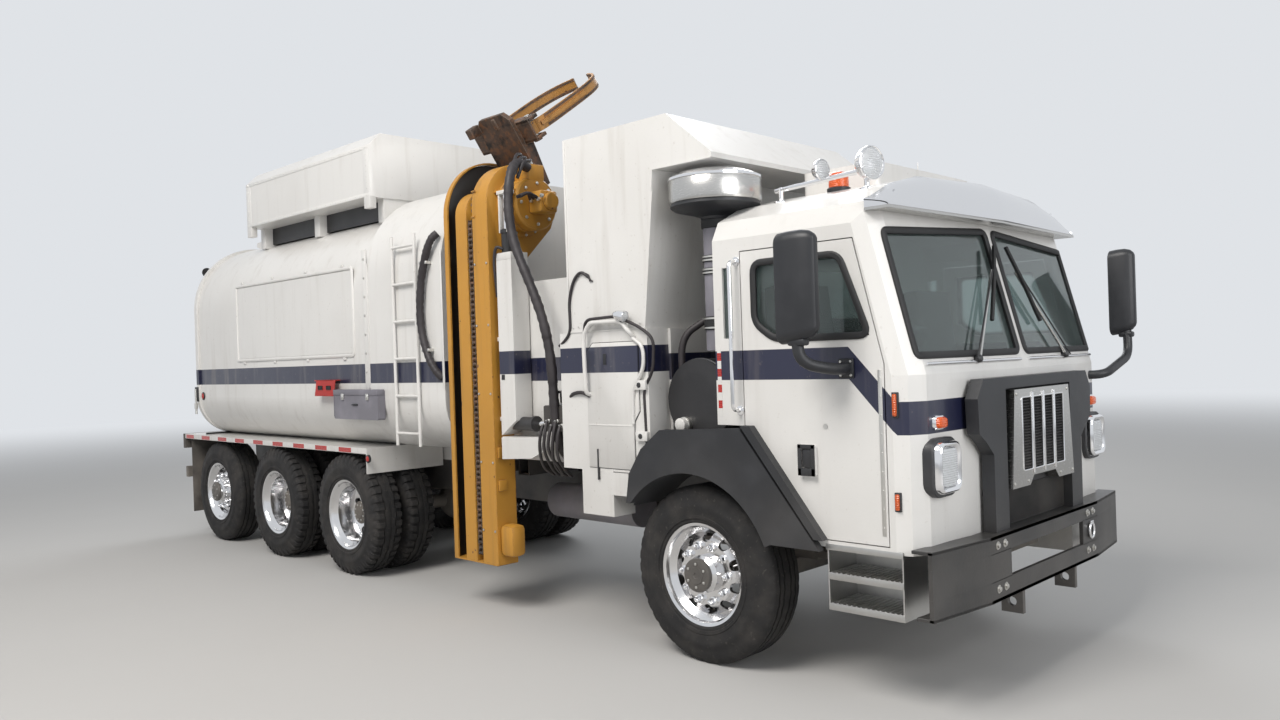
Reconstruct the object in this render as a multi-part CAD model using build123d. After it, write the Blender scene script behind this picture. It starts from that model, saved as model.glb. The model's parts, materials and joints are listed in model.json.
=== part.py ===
"""Side-loading garbage truck, in millimetres.

+X forward, +Y left, +Z up. The origin is on the ground, midway along and across the truck.
Lengths along the truck are named from the front axle; X(...) carries them to the origin.
"""
import math
import os

from build123d import *

# Wheels and axles
TYRE_RADIUS = 530.0
RIM_RADIUS = 292.0
STEER_TYRE_WIDTH = 310.0
DRIVE_TYRE_WIDTH = 280.0
STEER_WHEEL_Y = 1020.0
TAG_WHEEL_Y = 1040.0
DUAL_OUTER_Y = 1085.0
DUAL_SPACING = 330.0
DRIVE_1_BACK = 4080.0
TANDEM_SPACING = 1360.0
TAG_SPACING = 1420.0
KINGPIN_Y = 900.0
KINGPIN_RADIUS = 24.0
SPINDLE_RADIUS = 48.0
HUB_RADIUS = 112.0
HAND_HOLES = 10
HAND_HOLE_RADIUS = 33.0
BOLT_CIRCLE = 167.5
BEAD_INSET = 42.0
RUN_GAP = 0.3

# Whole vehicle
HALF_WIDTH = 1220.0
FRONT_REACH = 1620.0
REAR_REACH = 7700.0
MIRROR_REACH = 1560.0
MIRROR_THICK = 110.0
MIRROR_LOW = 1870.0
MIRROR_ROUND = 40.0
PANEL_GAP = 6.0

# Chassis
RAIL_OUT_Y = 432.0
RAIL_FLANGE = 85.0
RAIL_WEB = 10.0
RAIL_BOTTOM = 690.0
RAIL_TOP = 960.0
RAIL_FRONT = FRONT_REACH - 180.0
RAIL_BACK = 7560.0

# Cab
CAB_BACK = 220.0
NOSE_SETBACK = 120.0
CORNER_SETBACK = 160.0
CAB_NOSE = FRONT_REACH - NOSE_SETBACK
CAB_CORNER = CAB_NOSE - CORNER_SETBACK
CAB_FLOOR = 810.0
CAB_WAIST = 1700.0
CAB_EAVE = 2600.0
CAB_SHOULDER = 2470.0
CAB_CROWN = 2780.0
CAB_WALL = 60.0
WINDSHIELD_LEAN = 235.0
ARCH_TOP = 1430.0
DOOR_BACK = 420.0
DOOR_SETBACK = 40.0
DOOR_FRONT = CAB_CORNER - DOOR_SETBACK
DOOR_TOP = 2400.0
DOOR_LOW = 850.0
DOOR_CUT = 890.0
TUNNEL_HALF = 450.0
TUNNEL_TOP = 1230.0
TUNNEL_WALL = 40.0
RADIATOR_SETBACK = 105.0
RADIATOR_DEPTH = 95.0
GLASS = 6.0

# Front fenders, step and bumper
ARCH_RADIUS = 612.0
FENDER_OUT_Y = 1270.0
STEP_BACK = 930.0
STEP_FRONT = DOOR_FRONT + 70.0
STEP_LOW = 480.0
BUMPER_LOW = 510.0
BUMPER_TOP = 852.0
BUMPER_BEND_Y = 740.0
BUMPER_SWEEP = 60.0
BUMPER_END_Y = 1243.0
BUMPER_PLATE = 22.0
BUMPER_SHELF = 108.0
SLOT_LOW = 620.0
SLOT_HIGH = 760.0
SLOT_HALF = 500.0
TOW_EYE_RADIUS = 25.0
TOW_EYE_HALF = 60.0
TOW_EYE_DROP = 62.0
TOW_EYE_BACK = 78.0
TOW_EYE_THICK = 30.0
TOW_EYE_Y = 350.0

# Hopper and hood
TUB_FRONT = -300.0
TUB_BACK = -2500.0
TUB_FLOOR = 1115.0
TUB_RIM = 2400.0
TUB_LEFT_RIM = 3230.0
SHEET = 40.0
HOOD_BACK = -1040.0
HOOD_RIDGE = -110.0
HOOD_TOP = 3280.0
HOOD_LOW = 2005.0
HOOD_LIP = 2965.0
HOOD_FACE = -228.0
HOOD_FOOT = -335.0
HOOD_LEFT_Y = 620.0
HOOD_SHEET = 30.0
TUB_RIGHT_Y = 1030.0

# Body drum, tailgate, deck
DRUM_FRONT = -2500.0
DRUM_STEP = -3600.0
DRUM_BACK = -7230.0
DRUM_LOW = 1130.0
DRUM_TOP = 3200.0
COLLAR_RISE = 110.0
COLLAR_TOP = DRUM_TOP + COLLAR_RISE
DRUM_WALL = 50.0
DRUM_HALF = 1190.0
GATE_DEPTH = 300.0
GATE_PIN_BACK = 32.0
GATE_PIN_UP = 72.0
GATE_LUG_Y = 400.0
GATE_EARS = (-450.0, -350.0, 350.0, 450.0)
DECK_FRONT = -3680.0
DECK_TOP = DRUM_LOW
DECK_SHEET = 30.0
SKIRT_LOW = 970.0

# Gas pod
POD_FRONT = -3850.0
POD_BACK = -6350.0
POD_RAISE = 220.0
POD_DEPTH = 480.0
POD_LOW = DRUM_TOP + POD_RAISE
POD_TOP = POD_LOW + POD_DEPTH
POD_HALF = 1000.0

# Lift
MAST_X = -2130.0
MAST_HALF = 240.0
MAST_OUT_Y = 1220.0
MAST_LOW = 350.0
TIP_Y = -900.0
TIP_Z = 2980.0
HEAD_RADIUS = 320.0
TIP_ANGLE = 145.0
PLATE = 20.0
CARRIAGE_GAP = 12.0
SLIDE_TUBE = 100.0
GRIP_Z = TIP_Z - 430.0
GRIP_PIN_X = 262.0
GRIP_PIN_Y = 112.0
GRIP_POCKET = 75.0
GRIP_PIN_RADIUS = 20.0

FRONT_AXLE_X = (REAR_REACH - FRONT_REACH) / 2
DRIVE_1_X = FRONT_AXLE_X - DRIVE_1_BACK
DRIVE_2_X = DRIVE_1_X - TANDEM_SPACING
TAG_X = DRIVE_2_X - TAG_SPACING


def X(ahead):
    """A station given from the front axle, as a place from the origin."""
    return FRONT_AXLE_X + ahead


def block(x, y, z):
    """A box between the pairs of limits x, y and z."""
    centre = Pos((x[0] + x[1]) / 2, (y[0] + y[1]) / 2, (z[0] + z[1]) / 2)
    return centre * Box(abs(x[1] - x[0]), abs(y[1] - y[0]), abs(z[1] - z[0]))


def side_profile(points, y):
    """An outline of (x, z) points carried across from y[0] to y[1]."""
    face = make_face(Polyline([(px, y[0], pz) for px, pz in points], close=True))
    return extrude(face, amount=y[1] - y[0], dir=(0, 1, 0))


def end_profile(points, x):
    """An outline of (y, z) points carried along from x[0] to x[1]."""
    face = make_face(Polyline([(x[0], py, pz) for py, pz in points], close=True))
    return extrude(face, amount=x[1] - x[0], dir=(1, 0, 0))


def plan_profile(points, z):
    """An outline of (x, y) points carried up from z[0] to z[1]."""
    face = make_face(Polyline([(px, py, z[0]) for px, py in points], close=True))
    return extrude(face, amount=z[1] - z[0], dir=(0, 0, 1))


def bar(start, end, radius):
    """A round bar from one point to another."""
    a = Vector(*start)
    b = Vector(*end)
    plane = Plane(origin=a, z_dir=(b - a))
    return extrude(plane * Circle(radius), amount=(b - a).length)


def pipe(points, radius, bend):
    """A bent tube's outside, along straight runs joined by arcs."""
    path = FilletPolyline(*points, radius=bend)
    start = Plane(origin=path @ 0, z_dir=path % 0)
    return sweep(start * Circle(radius), path=path)


def across(radius, x, y, z):
    """A disc or drum whose axis lies across the truck, from y[0] to y[1]."""
    return bar((x, y[0], z), (x, y[1], z), radius)


def mirrored(shape):
    """The same piece on the other side of the truck."""
    return mirror(shape, about=Plane.XZ)


def both(shape):
    """A piece and its mirror image, as one node."""
    return Compound(children=[*as_solids(shape), *as_solids(mirrored(shape))])


def as_solids(shape):
    return list(shape.solids())


def group(*shapes):
    """Separate solids kept in one node."""
    return Compound(children=[solid for shape in shapes for solid in as_solids(shape)])


def turned(profile, x, y, z):
    """A profile of (radius, offset) points turned about a line across the truck.
    Offsets run outwards from y, towards the truck's right."""
    points = [(x + r, y - out, z) for r, out in profile]
    face = make_face(Polyline(points, close=True))
    return revolve(face, axis=Axis((x, y, z), (0, 1, 0)))


def tyre(x, y, width):
    """A tyre's outside with its bead seat open for the rim."""
    half = width / 2
    tread = half - 32
    profile = [
        (RIM_RADIUS + RUN_GAP, half - BEAD_INSET + 2),
        (RIM_RADIUS + 70, half),
        (TYRE_RADIUS - 110, half),
        (TYRE_RADIUS - 14, tread),
        (TYRE_RADIUS, tread - 30),
        (TYRE_RADIUS, 30 - tread),
        (TYRE_RADIUS - 14, -tread),
        (TYRE_RADIUS - 110, -half),
        (RIM_RADIUS + 70, -half),
        (RIM_RADIUS + RUN_GAP, BEAD_INSET - 2 - half),
    ]
    return turned(profile, x, y, TYRE_RADIUS)


def rim(x, y, width, disc, bore, root, dish):
    """A drop-centre rim whose disc stands `disc` outwards of the tyre's middle.
    The disc runs back by `dish` to meet the barrel at the radius `root`."""
    half = width / 2 - BEAD_INSET
    wall = 14.0
    side = 1 if disc > 0 else -1
    lip = [(RIM_RADIUS, 4), (RIM_RADIUS + 14, 16), (RIM_RADIUS + 14, 26), (RIM_RADIUS - 4, 18),
           (RIM_RADIUS - wall, 0)]
    outer = [(r, half + out) for r, out in lip]
    inner = [(r, -half - out) for r, out in lip]
    well = [(RIM_RADIUS - 34 - wall, half * 0.7), (RIM_RADIUS - 34 - wall, -half * 0.55)]
    barrel = turned(outer + well + inner[::-1], x, y, TYRE_RADIUS)
    plate = turned(
        [
            (bore, disc),
            (BOLT_CIRCLE + 30, disc),
            (root, disc - side * dish),
            (root, disc - side * (dish + 22)),
            (BOLT_CIRCLE + 30, disc - side * 22),
            (bore, disc - side * 22),
        ],
        x, y, TYRE_RADIUS,
    )
    holes = []
    for k in range(HAND_HOLES):
        angle = 2 * math.pi * (k + 0.5) / HAND_HOLES
        radius = BOLT_CIRCLE + 52
        cx = x + radius * math.cos(angle)
        cz = TYRE_RADIUS + radius * math.sin(angle)
        holes.append(across(HAND_HOLE_RADIUS, cx, (y - disc - 90, y - disc + 90), cz))
    return barrel + (plate - holes)


def hub(x, y, inner, outer):
    """A wheel's hub: a drum from `inner` to `outer` with its cap, bored for the spindle."""
    profile = [
        (SPINDLE_RADIUS + RUN_GAP, inner),
        (HUB_RADIUS, inner),
        (HUB_RADIUS, outer - 60),
        (HUB_RADIUS - 22, outer - 40),
        (HUB_RADIUS - 34, outer),
        (0, outer),
        (0, outer - 25),
        (SPINDLE_RADIUS + RUN_GAP, outer - 25),
    ]
    return turned(profile, x, y, TYRE_RADIUS)


def nuts(x, y, disc):
    """The ring of wheel nuts that stands on the disc."""
    ring = []
    for k in range(HAND_HOLES):
        angle = 2 * math.pi * k / HAND_HOLES
        cx = x + BOLT_CIRCLE * math.cos(angle)
        cz = TYRE_RADIUS + BOLT_CIRCLE * math.sin(angle)
        ring.append(across(15, cx, (y - disc + 4, y - disc - 30), cz))
    return ring


def single_wheel(x, wheel_y, width):
    """A right-hand wheel with one tyre and a disc that stands outwards."""
    y = -wheel_y
    disc = 88.0
    wheel = rim(x, y, width, disc, HUB_RADIUS - 2, RIM_RADIUS - 41, 55) + hub(x, y, disc - 120, disc + 95)
    return tyre(x, y, width), wheel + nuts(x, y, disc)


def twin_wheel(x):
    """A right-hand pair of tyres whose discs meet between them."""
    outer = -DUAL_OUTER_Y
    inner = outer + DUAL_SPACING
    meet = DUAL_SPACING / 2
    width = DRIVE_TYRE_WIDTH
    root = RIM_RADIUS - 7
    near = rim(x, outer, width, -meet, HUB_RADIUS - 2, root, 70)
    far = rim(x, inner, width, meet, HUB_RADIUS - 2, root, 70)
    middle = hub(x, outer, -(meet + 60), 60 - meet + 100)
    return group(tyre(x, outer, width), tyre(x, inner, width)), near + far + middle


def frame_rails():
    """Two channel rails with their cross members."""
    web = [(RAIL_OUT_Y, RAIL_BOTTOM), (RAIL_OUT_Y, RAIL_TOP), (RAIL_OUT_Y - RAIL_FLANGE, RAIL_TOP),
           (RAIL_OUT_Y - RAIL_FLANGE, RAIL_TOP - RAIL_WEB), (RAIL_OUT_Y - RAIL_WEB, RAIL_TOP - RAIL_WEB),
           (RAIL_OUT_Y - RAIL_WEB, RAIL_BOTTOM + RAIL_WEB), (RAIL_OUT_Y - RAIL_FLANGE, RAIL_BOTTOM + RAIL_WEB),
           (RAIL_OUT_Y - RAIL_FLANGE, RAIL_BOTTOM)]
    rail = end_profile(web, (X(-RAIL_BACK), X(RAIL_FRONT)))
    inside = RAIL_OUT_Y - RAIL_WEB
    z = (RAIL_BOTTOM + 40, RAIL_TOP - 40)
    crosses = []
    for station in (RAIL_FRONT - 190, -1000, -2700, -3400, -4760, -6150, 60 - RAIL_BACK):
        crosses.append(block((X(station - 45), X(station + 45)), (-inside, inside), z))
    return group(rail, mirrored(rail), *crosses)


def front_axle():
    """A dropped beam with an eye for each kingpin, on its leaf springs."""
    x = FRONT_AXLE_X
    drop = TYRE_RADIUS - 110
    half = 42.0
    eye = KINGPIN_Y
    beam = end_profile(
        [(-eye, TYRE_RADIUS - 45), (-eye, TYRE_RADIUS + 45), (-650, TYRE_RADIUS + 40), (-540, drop + 55),
         (540, drop + 55), (650, TYRE_RADIUS + 40), (eye, TYRE_RADIUS + 45), (eye, TYRE_RADIUS - 45),
         (640, TYRE_RADIUS - 50), (520, drop - 45), (-520, drop - 45), (-640, TYRE_RADIUS - 50)],
        (x - half, x + half),
    )
    for side in (-1, 1):
        beam += Pos(x, side * eye, TYRE_RADIUS) * Cylinder(52, 90)
        beam -= Pos(x, side * eye, TYRE_RADIUS) * Cylinder(KINGPIN_RADIUS + RUN_GAP, 200)
    spring_y = RAIL_OUT_Y - RAIL_FLANGE / 2
    seat = drop + 55
    for side in (-1, 1):
        y = (side * spring_y - 38, side * spring_y + 38)
        for k in range(4):
            reach = 780 - 150 * k
            beam += block((x - reach, x + reach), y, (seat + 100 - 14 * k, seat + 114 - 14 * k))
        beam += block((x - 60, x + 60), y, (seat - 5, seat + 70))
        for end in (-1, 1):
            beam += block((x + end * 760 - 35, x + end * 760 + 35), y, (seat + 100, RAIL_BOTTOM))
    return beam


def knuckle():
    """The right-hand knuckle: a fork over the axle eye, its kingpin and its spindle."""
    x = FRONT_AXLE_X
    y = -KINGPIN_Y
    z = TYRE_RADIUS
    fork = 51.0
    piece = Pos(x, y, z) * Cylinder(KINGPIN_RADIUS, 200)
    for side in (-1, 1):
        piece += Pos(x, y, z + side * (fork + 22)) * Cylinder(50, 44)
    piece += block((x - 45, x + 45), (y - 75, y - 58), (z - 95, z + 95))
    for side in (-1, 1):
        low, high = sorted((z + side * fork, z + side * (fork + 44)))
        piece += block((x - 45, x + 45), (y - 66, y), (low, high))
    hub_end = -STEER_WHEEL_Y - 88 - 95 + 25 + 5
    piece += across(SPINDLE_RADIUS, x, (y - 66, hub_end), z)
    piece += block((x - 150, x - 30), (y - 20, y + 20), (z - fork - 60, z - fork - 20))
    return piece


def live_axle(x, reach):
    """A driven axle: its round case, the bowl of its gears and both spindles."""
    tube = across(62, x, (-reach, reach), TYRE_RADIUS)
    bowl = Pos(x, 0, TYRE_RADIUS) * Sphere(205)
    nose = bar((x, 0, TYRE_RADIUS), (x + 330, 0, TYRE_RADIUS + 10), 95)
    return tube + bowl + nose


def drive_axles():
    """Both driven axles with spindles, springs and walking-beam brackets."""
    reach = 560.0
    tip = DUAL_OUTER_Y - DUAL_SPACING / 2 + 60 - 20
    pieces = []
    for x in (DRIVE_1_X, DRIVE_2_X):
        axle = live_axle(x, reach) + across(SPINDLE_RADIUS, x, (-tip, tip), TYRE_RADIUS)
        pieces.append(axle)
    mid = (DRIVE_1_X + DRIVE_2_X) / 2
    seat_y = RAIL_OUT_Y - RAIL_FLANGE / 2
    tandem = pieces[0] + pieces[1]
    for side in (-1, 1):
        y = (side * seat_y - 40, side * seat_y + 40)
        tandem += block((DRIVE_2_X - 60, DRIVE_1_X + 60), y, (TYRE_RADIUS - 30, TYRE_RADIUS + 60))
        tandem += block((mid - 170, mid + 170), y, (TYRE_RADIUS + 50, RAIL_BOTTOM))
    return tandem


def tag_axle():
    """The rearmost axle: a plain tube with trailing arms and its spindles."""
    tip = TAG_WHEEL_Y + 88 + 95 - 25 - 5
    inner = TAG_WHEEL_Y - 40
    axle = across(70, TAG_X, (-inner, inner), TYRE_RADIUS)
    axle += across(SPINDLE_RADIUS, TAG_X, (-tip, tip), TYRE_RADIUS)
    seat_y = RAIL_OUT_Y - RAIL_FLANGE / 2
    for side in (-1, 1):
        y = (side * seat_y - 35, side * seat_y + 35)
        axle += side_profile(
            [(TAG_X - 90, TYRE_RADIUS - 40), (TAG_X - 90, TYRE_RADIUS + 60), (TAG_X + 60, TYRE_RADIUS + 90),
             (TAG_X + 620, RAIL_BOTTOM), (TAG_X + 700, RAIL_BOTTOM), (TAG_X + 640, TYRE_RADIUS + 60),
             (TAG_X + 60, TYRE_RADIUS - 40)],
            y,
        )
    return axle


def cab_plan(forward, inset, z):
    """The cab's outline seen from above, at height z, as a wire of straight edges."""
    side = HALF_WIDTH - inset
    back = X(CAB_BACK) + inset
    corner = X(CAB_CORNER) + forward
    nose = X(CAB_NOSE) + forward - inset
    points = [
        (back, -side, z), (corner, -side, z), (corner + 75 - inset * 0.4, -side + 30, z),
        (nose - 35, -side + 120, z), (nose, 0, z), (nose - 35, side - 120, z),
        (corner + 75 - inset * 0.4, side - 30, z), (corner, side, z), (back, side, z),
    ]
    return make_face(Polyline(points, close=True))


def cab_form(inset):
    """The cab's form, `inset` inside its outer skin."""
    floor = CAB_FLOOR + inset
    low = extrude(cab_plan(0, inset, floor), amount=CAB_WAIST - floor, dir=(0, 0, 1))
    rise = CAB_CROWN + 20 - CAB_WAIST
    lean = -WINDSHIELD_LEAN * rise / (CAB_EAVE - CAB_WAIST)
    high = loft([cab_plan(0, inset, CAB_WAIST), cab_plan(lean, inset, CAB_WAIST + rise)], ruled=True)
    side = HALF_WIDTH - inset
    shoulder = CAB_SHOULDER - inset * 0.5
    crown = CAB_CROWN - inset
    arch = [
        (side + 5, floor - 5), (side + 5, shoulder), (side - 60, shoulder + 120), (side - 260, crown - 95),
        (side - 560, crown - 25), (0, crown),
    ]
    outline = arch + [(-y, z) for y, z in arch[::-1][1:]]
    roof = end_profile(outline, (X(CAB_BACK) - 50, X(CAB_NOSE) + 50))
    return (low + high) & roof


def door_outline(gap):
    """The door's outline, (x, z), grown by `gap`; its low rear corner is cut for the wheel."""
    back = X(DOOR_BACK) - gap
    front = X(DOOR_FRONT) + gap
    cut_x = X(DOOR_CUT) - gap
    return [
        (back, ARCH_TOP - gap), (back, DOOR_TOP + gap), (front - 160, DOOR_TOP + gap),
        (front, CAB_WAIST + 60), (front, DOOR_LOW - gap), (cut_x, DOOR_LOW - gap),
    ]


def window_outline(grow):
    """The door window's outline, (x, z)."""
    return [
        (X(505) - grow, 2330 + grow), (X(DOOR_FRONT - 240) + grow, 2330 + grow),
        (X(DOOR_FRONT - 75) + grow, 1905 - grow),
        (X(640) - grow, 1905 - grow), (X(505) - grow, 2000 - grow),
    ]


def side_window(y, grow):
    return side_profile(window_outline(grow), y)


def pane_outline(grow):
    """One windshield pane's outline, (y, z)."""
    return [(45 - grow, 1790 - grow), (1120 + grow, 1790 - grow), (1120 + grow, 2430 + grow), (45 - grow, 2490 + grow)]


def cab_shell():
    """The cab's walls, floor and roof, with openings for doors, glass and wheels."""
    inside = cab_form(CAB_WALL)
    reach = (X(CAB_BACK) - 50, X(CAB_NOSE) + 50)
    cover = block(reach, (-TUNNEL_HALF - TUNNEL_WALL, TUNNEL_HALF + TUNNEL_WALL),
                  (CAB_FLOOR - 50, TUNNEL_TOP + TUNNEL_WALL))
    shell = cab_form(0) - (inside - cover)
    wide = (-HALF_WIDTH - 50, HALF_WIDTH + 50)
    shell -= side_profile(door_outline(PANEL_GAP), wide)
    arch = [
        (X(CAB_BACK) - 50, CAB_FLOOR - 50), (X(CAB_BACK) - 50, ARCH_TOP), (X(DOOR_BACK), ARCH_TOP),
        (X(DOOR_CUT), CAB_FLOOR - 50),
    ]
    shell -= side_profile(arch, wide)
    pane = end_profile(pane_outline(0), (X(900), X(CAB_NOSE) + 100))
    shell -= pane
    shell -= mirrored(pane)
    shell -= end_profile([(-700, 1900), (700, 1900), (700, 2350), (-700, 2350)],
                         (X(CAB_BACK) - 50, X(CAB_BACK) + CAB_WALL + 5))
    quarter = [(X(285), 1920), (X(285), 2320), (X(355), 2320), (X(355), 1920)]
    shell -= side_profile(quarter, wide)
    deck = side_profile(
        [(X(CAB_BACK), ARCH_TOP), (X(CAB_BACK), ARCH_TOP + CAB_WALL), (X(DOOR_BACK) + 40, ARCH_TOP + CAB_WALL),
         (X(DOOR_CUT) + 50, CAB_FLOOR + CAB_WALL), (X(DOOR_CUT) + 50, CAB_FLOOR),
         (X(DOOR_CUT) - 10, CAB_FLOOR), (X(DOOR_BACK), ARCH_TOP)],
        (-HALF_WIDTH + CAB_WALL + PANEL_GAP, HALF_WIDTH - CAB_WALL - PANEL_GAP),
    )
    return shell + deck - block(reach, (-TUNNEL_HALF, TUNNEL_HALF), (CAB_FLOOR - 50, TUNNEL_TOP))


def arch_deck(x):
    """Height of the sloped deck over the wheel at the station x, in the cab."""
    start = DOOR_BACK + 40
    end = DOOR_CUT + 50
    fall = ARCH_TOP - CAB_FLOOR
    return ARCH_TOP + CAB_WALL - fall * (x - start) / (end - start)


def cab_glass():
    """The two windshield panes, set in the walls' outer third."""
    skin = cab_form(12) - cab_form(12 + GLASS)
    pane = end_profile(pane_outline(-RUN_GAP), (X(900), X(CAB_NOSE) + 100)) & skin
    rear = block((X(CAB_BACK) + 20, X(CAB_BACK) + 20 + GLASS), (-700 + RUN_GAP, 700 - RUN_GAP),
                 (1900 + RUN_GAP, 2350 - RUN_GAP))
    quarter = block((X(285) + RUN_GAP, X(355) - RUN_GAP), (-HALF_WIDTH + 15, -HALF_WIDTH + 15 + GLASS),
                    (1920 + RUN_GAP, 2320 - RUN_GAP))
    return group(pane, mirrored(pane), rear, quarter, mirrored(quarter))


def door():
    """The right-hand door: a hollow-windowed panel with its handle and hinge leaf."""
    y = (-HALF_WIDTH, -HALF_WIDTH + CAB_WALL)
    panel = side_profile(door_outline(0), y)
    panel -= side_window((y[0] - 5, y[1] + 5), 0)
    panel += block((X(790), X(890)), (y[0] - 28, y[0] + 5), (1180, 1340))
    panel -= block((X(805), X(875)), (y[0] - 40, y[0] - 8), (1215, 1325))
    flare = [(X(DOOR_BACK), ARCH_TOP), (X(DOOR_BACK) + 60, ARCH_TOP), (X(DOOR_CUT) + 50, DOOR_LOW),
             (X(DOOR_CUT), DOOR_LOW)]
    panel += side_profile(flare, (-FENDER_OUT_Y, y[0] + 5))
    return panel


def door_glass():
    y = (-HALF_WIDTH + 25, -HALF_WIDTH + 25 + GLASS)
    return side_window(y, -RUN_GAP)


def cab_interior():
    """Two seats, the dashboard and the steering wheel."""
    nose = X(CAB_NOSE)
    pieces = []
    for y in (-760, 760):
        seat = side_profile(
            [(X(420), 1500), (X(420), 2200), (X(530), 2220), (X(600), 1610), (X(960), 1600), (X(970), 1500)],
            (y - 240, y + 240),
        )
        base = side_profile(
            [(X(560), arch_deck(560) + RUN_GAP), (X(560), 1502), (X(920), 1502), (X(920), arch_deck(920) + RUN_GAP)],
            (y - 160, y + 160),
        )
        pieces.append(seat + base)
    dash = side_profile(
        [(nose - 300, 1400), (nose - 300, 1620), (nose - 230, 1690), (nose - 20, 1690), (nose - 20, 1400)],
        (-HALF_WIDTH, HALF_WIDTH),
    ) & cab_form(CAB_WALL + RUN_GAP)
    rim_centre = (nose - 420, -760, 1800)
    column = bar((nose - 240, -760, 1580), rim_centre, 28)
    lean = Plane(origin=rim_centre, z_dir=(-180, 0, 220))
    wheel = lean * Torus(215, 18) + lean * Box(400, 40, 24) + lean * Cylinder(60, 40)
    return group(*pieces, dash + column + wheel)


def bumper():
    """A bent channel bumper with its slot, ends swept back."""
    front = X(FRONT_REACH)
    end = X(FRONT_REACH - BUMPER_SWEEP)
    t = BUMPER_PLATE
    outer = [(end, -BUMPER_END_Y), (front, -BUMPER_BEND_Y), (front, BUMPER_BEND_Y), (end, BUMPER_END_Y)]
    face = plan_profile(outer + [(x - t, y) for x, y in outer[::-1]], (BUMPER_LOW, BUMPER_TOP))
    shelf = plan_profile(outer + [(x - BUMPER_SHELF, y) for x, y in outer[::-1]], (BUMPER_TOP - t, BUMPER_TOP))
    sole = plan_profile(outer + [(x - 90, y) for x, y in outer[::-1]], (BUMPER_LOW, BUMPER_LOW + t))
    slot = block((front - 60, front + 20), (-SLOT_HALF, SLOT_HALF), (SLOT_LOW, SLOT_HIGH))
    arms = block((X(RAIL_FRONT), front - t + 2), (RAIL_OUT_Y - RAIL_FLANGE, RAIL_OUT_Y - 5),
                 (SLOT_HIGH + 6, BUMPER_TOP - t / 2))
    return (face + shelf + sole - slot) + arms + mirrored(arms)


def grille_guard():
    """The black surround: wide shoulders at the stripe, narrow sides down to the bumper."""
    back = X(CAB_NOSE)
    outline = [(600, BUMPER_TOP), (600, 1260), (680, 1330), (760, 1380), (770, 1560), (700, 1660),
               (-700, 1660), (-770, 1560), (-760, 1380), (-680, 1330), (-600, 1260), (-600, BUMPER_TOP)]
    plate = end_profile(outline, (back, back + 70))
    window = end_profile([(440, BUMPER_TOP - 5), (440, 1600), (-440, 1600), (-440, BUMPER_TOP - 5)],
                         (back + 8, back + 75))
    return plate - window


def grille():
    """The bright frame with its four mesh panels and three bars, notched at the foot."""
    back = X(CAB_NOSE) + 8 + RUN_GAP
    outline = [(425, 1060), (372, 1590), (-372, 1590), (-425, 1060), (-200, 1060), (-150, 1110), (150, 1110),
               (200, 1060)]
    frame = end_profile(outline, (back, back + 80))
    step = 148
    for k in range(4):
        centre = (k - 1.5) * step
        frame -= block((back + 55, back + 90), (centre - 58, centre + 58), (1150, 1540))
    return frame


def lamps():
    """Headlamps in their bezels, turn lamps over them."""
    pieces = []
    face = X(CAB_NOSE) - 60
    bezel = block((face, face + 95), (-1115, -885), (1105, 1365))
    bezel = fillet(bezel.edges().filter_by(Axis.X), 50)
    bezel -= block((face + 75, face + 100), (-1080, -920), (1140, 1330))
    pieces.append(bezel)
    turn = block((face, face + 65), (-1060, -960), (1420, 1495))
    pieces.append(fillet(turn.edges().filter_by(Axis.X), 20))
    skin = cab_form(-RUN_GAP)
    return both(group(*[piece - skin for piece in pieces]))


def visor():
    """The bright lip over the windshield, pointed in the middle."""
    z = 2535.0
    nose = X(CAB_NOSE)
    points = [(nose - 300, -1190), (nose - 160, -1200), (nose - 105, 0), (nose - 160, 1200), (nose - 300, 1190),
              (nose - 260, 0)]
    return plan_profile(points, (z, z + 14)) - cab_form(-RUN_GAP)


def mirror_right():
    """The right mirror on its arm from the door."""
    x = X(985)
    head = block((x - 90, x + 90), (-MIRROR_REACH, MIRROR_THICK - MIRROR_REACH), (MIRROR_LOW, 2430))
    head = fillet(head.edges(), MIRROR_ROUND)
    foot = x + 105
    out = MIRROR_REACH - MIRROR_THICK / 2 - 5
    arm = pipe([(foot, -HALF_WIDTH - RUN_GAP, 1740), (foot, -HALF_WIDTH - 120, 1740),
                (x, -out, MIRROR_LOW - 80), (x, -out, MIRROR_LOW + 30)], 26, 38)
    return head + arm


def mirror_left():
    """The left mirror on its arm from the cab's front corner."""
    x = X(FRONT_REACH) - 30
    head = block((x - 130, x + 30), (MIRROR_REACH - MIRROR_THICK, MIRROR_REACH), (MIRROR_LOW, 2450))
    head = fillet(head.edges(), MIRROR_ROUND)
    out = MIRROR_REACH - MIRROR_THICK / 2
    arm = pipe([(X(CAB_CORNER) + 100, 1050, 1620), (x, 1050, 1620), (x, out, MIRROR_LOW - 110),
                (x, out, MIRROR_LOW + 30)], 26, 45)
    return head + (arm - cab_form(-RUN_GAP))


def wipers():
    """A wiper on each pane: its arm and blade."""
    pieces = []
    for side, foot in ((-1, 560), (1, 620)):
        start = (X(CAB_NOSE) - 12, side * foot, 1760)
        end = (X(CAB_NOSE) - 128, side * (foot - 430), 2260)
        wiper = bar(start, end, 9) + bar(start, (start[0] - 60, start[1], start[2]), 14)
        pieces.append(wiper - cab_form(-RUN_GAP))
    return group(*pieces)


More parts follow.
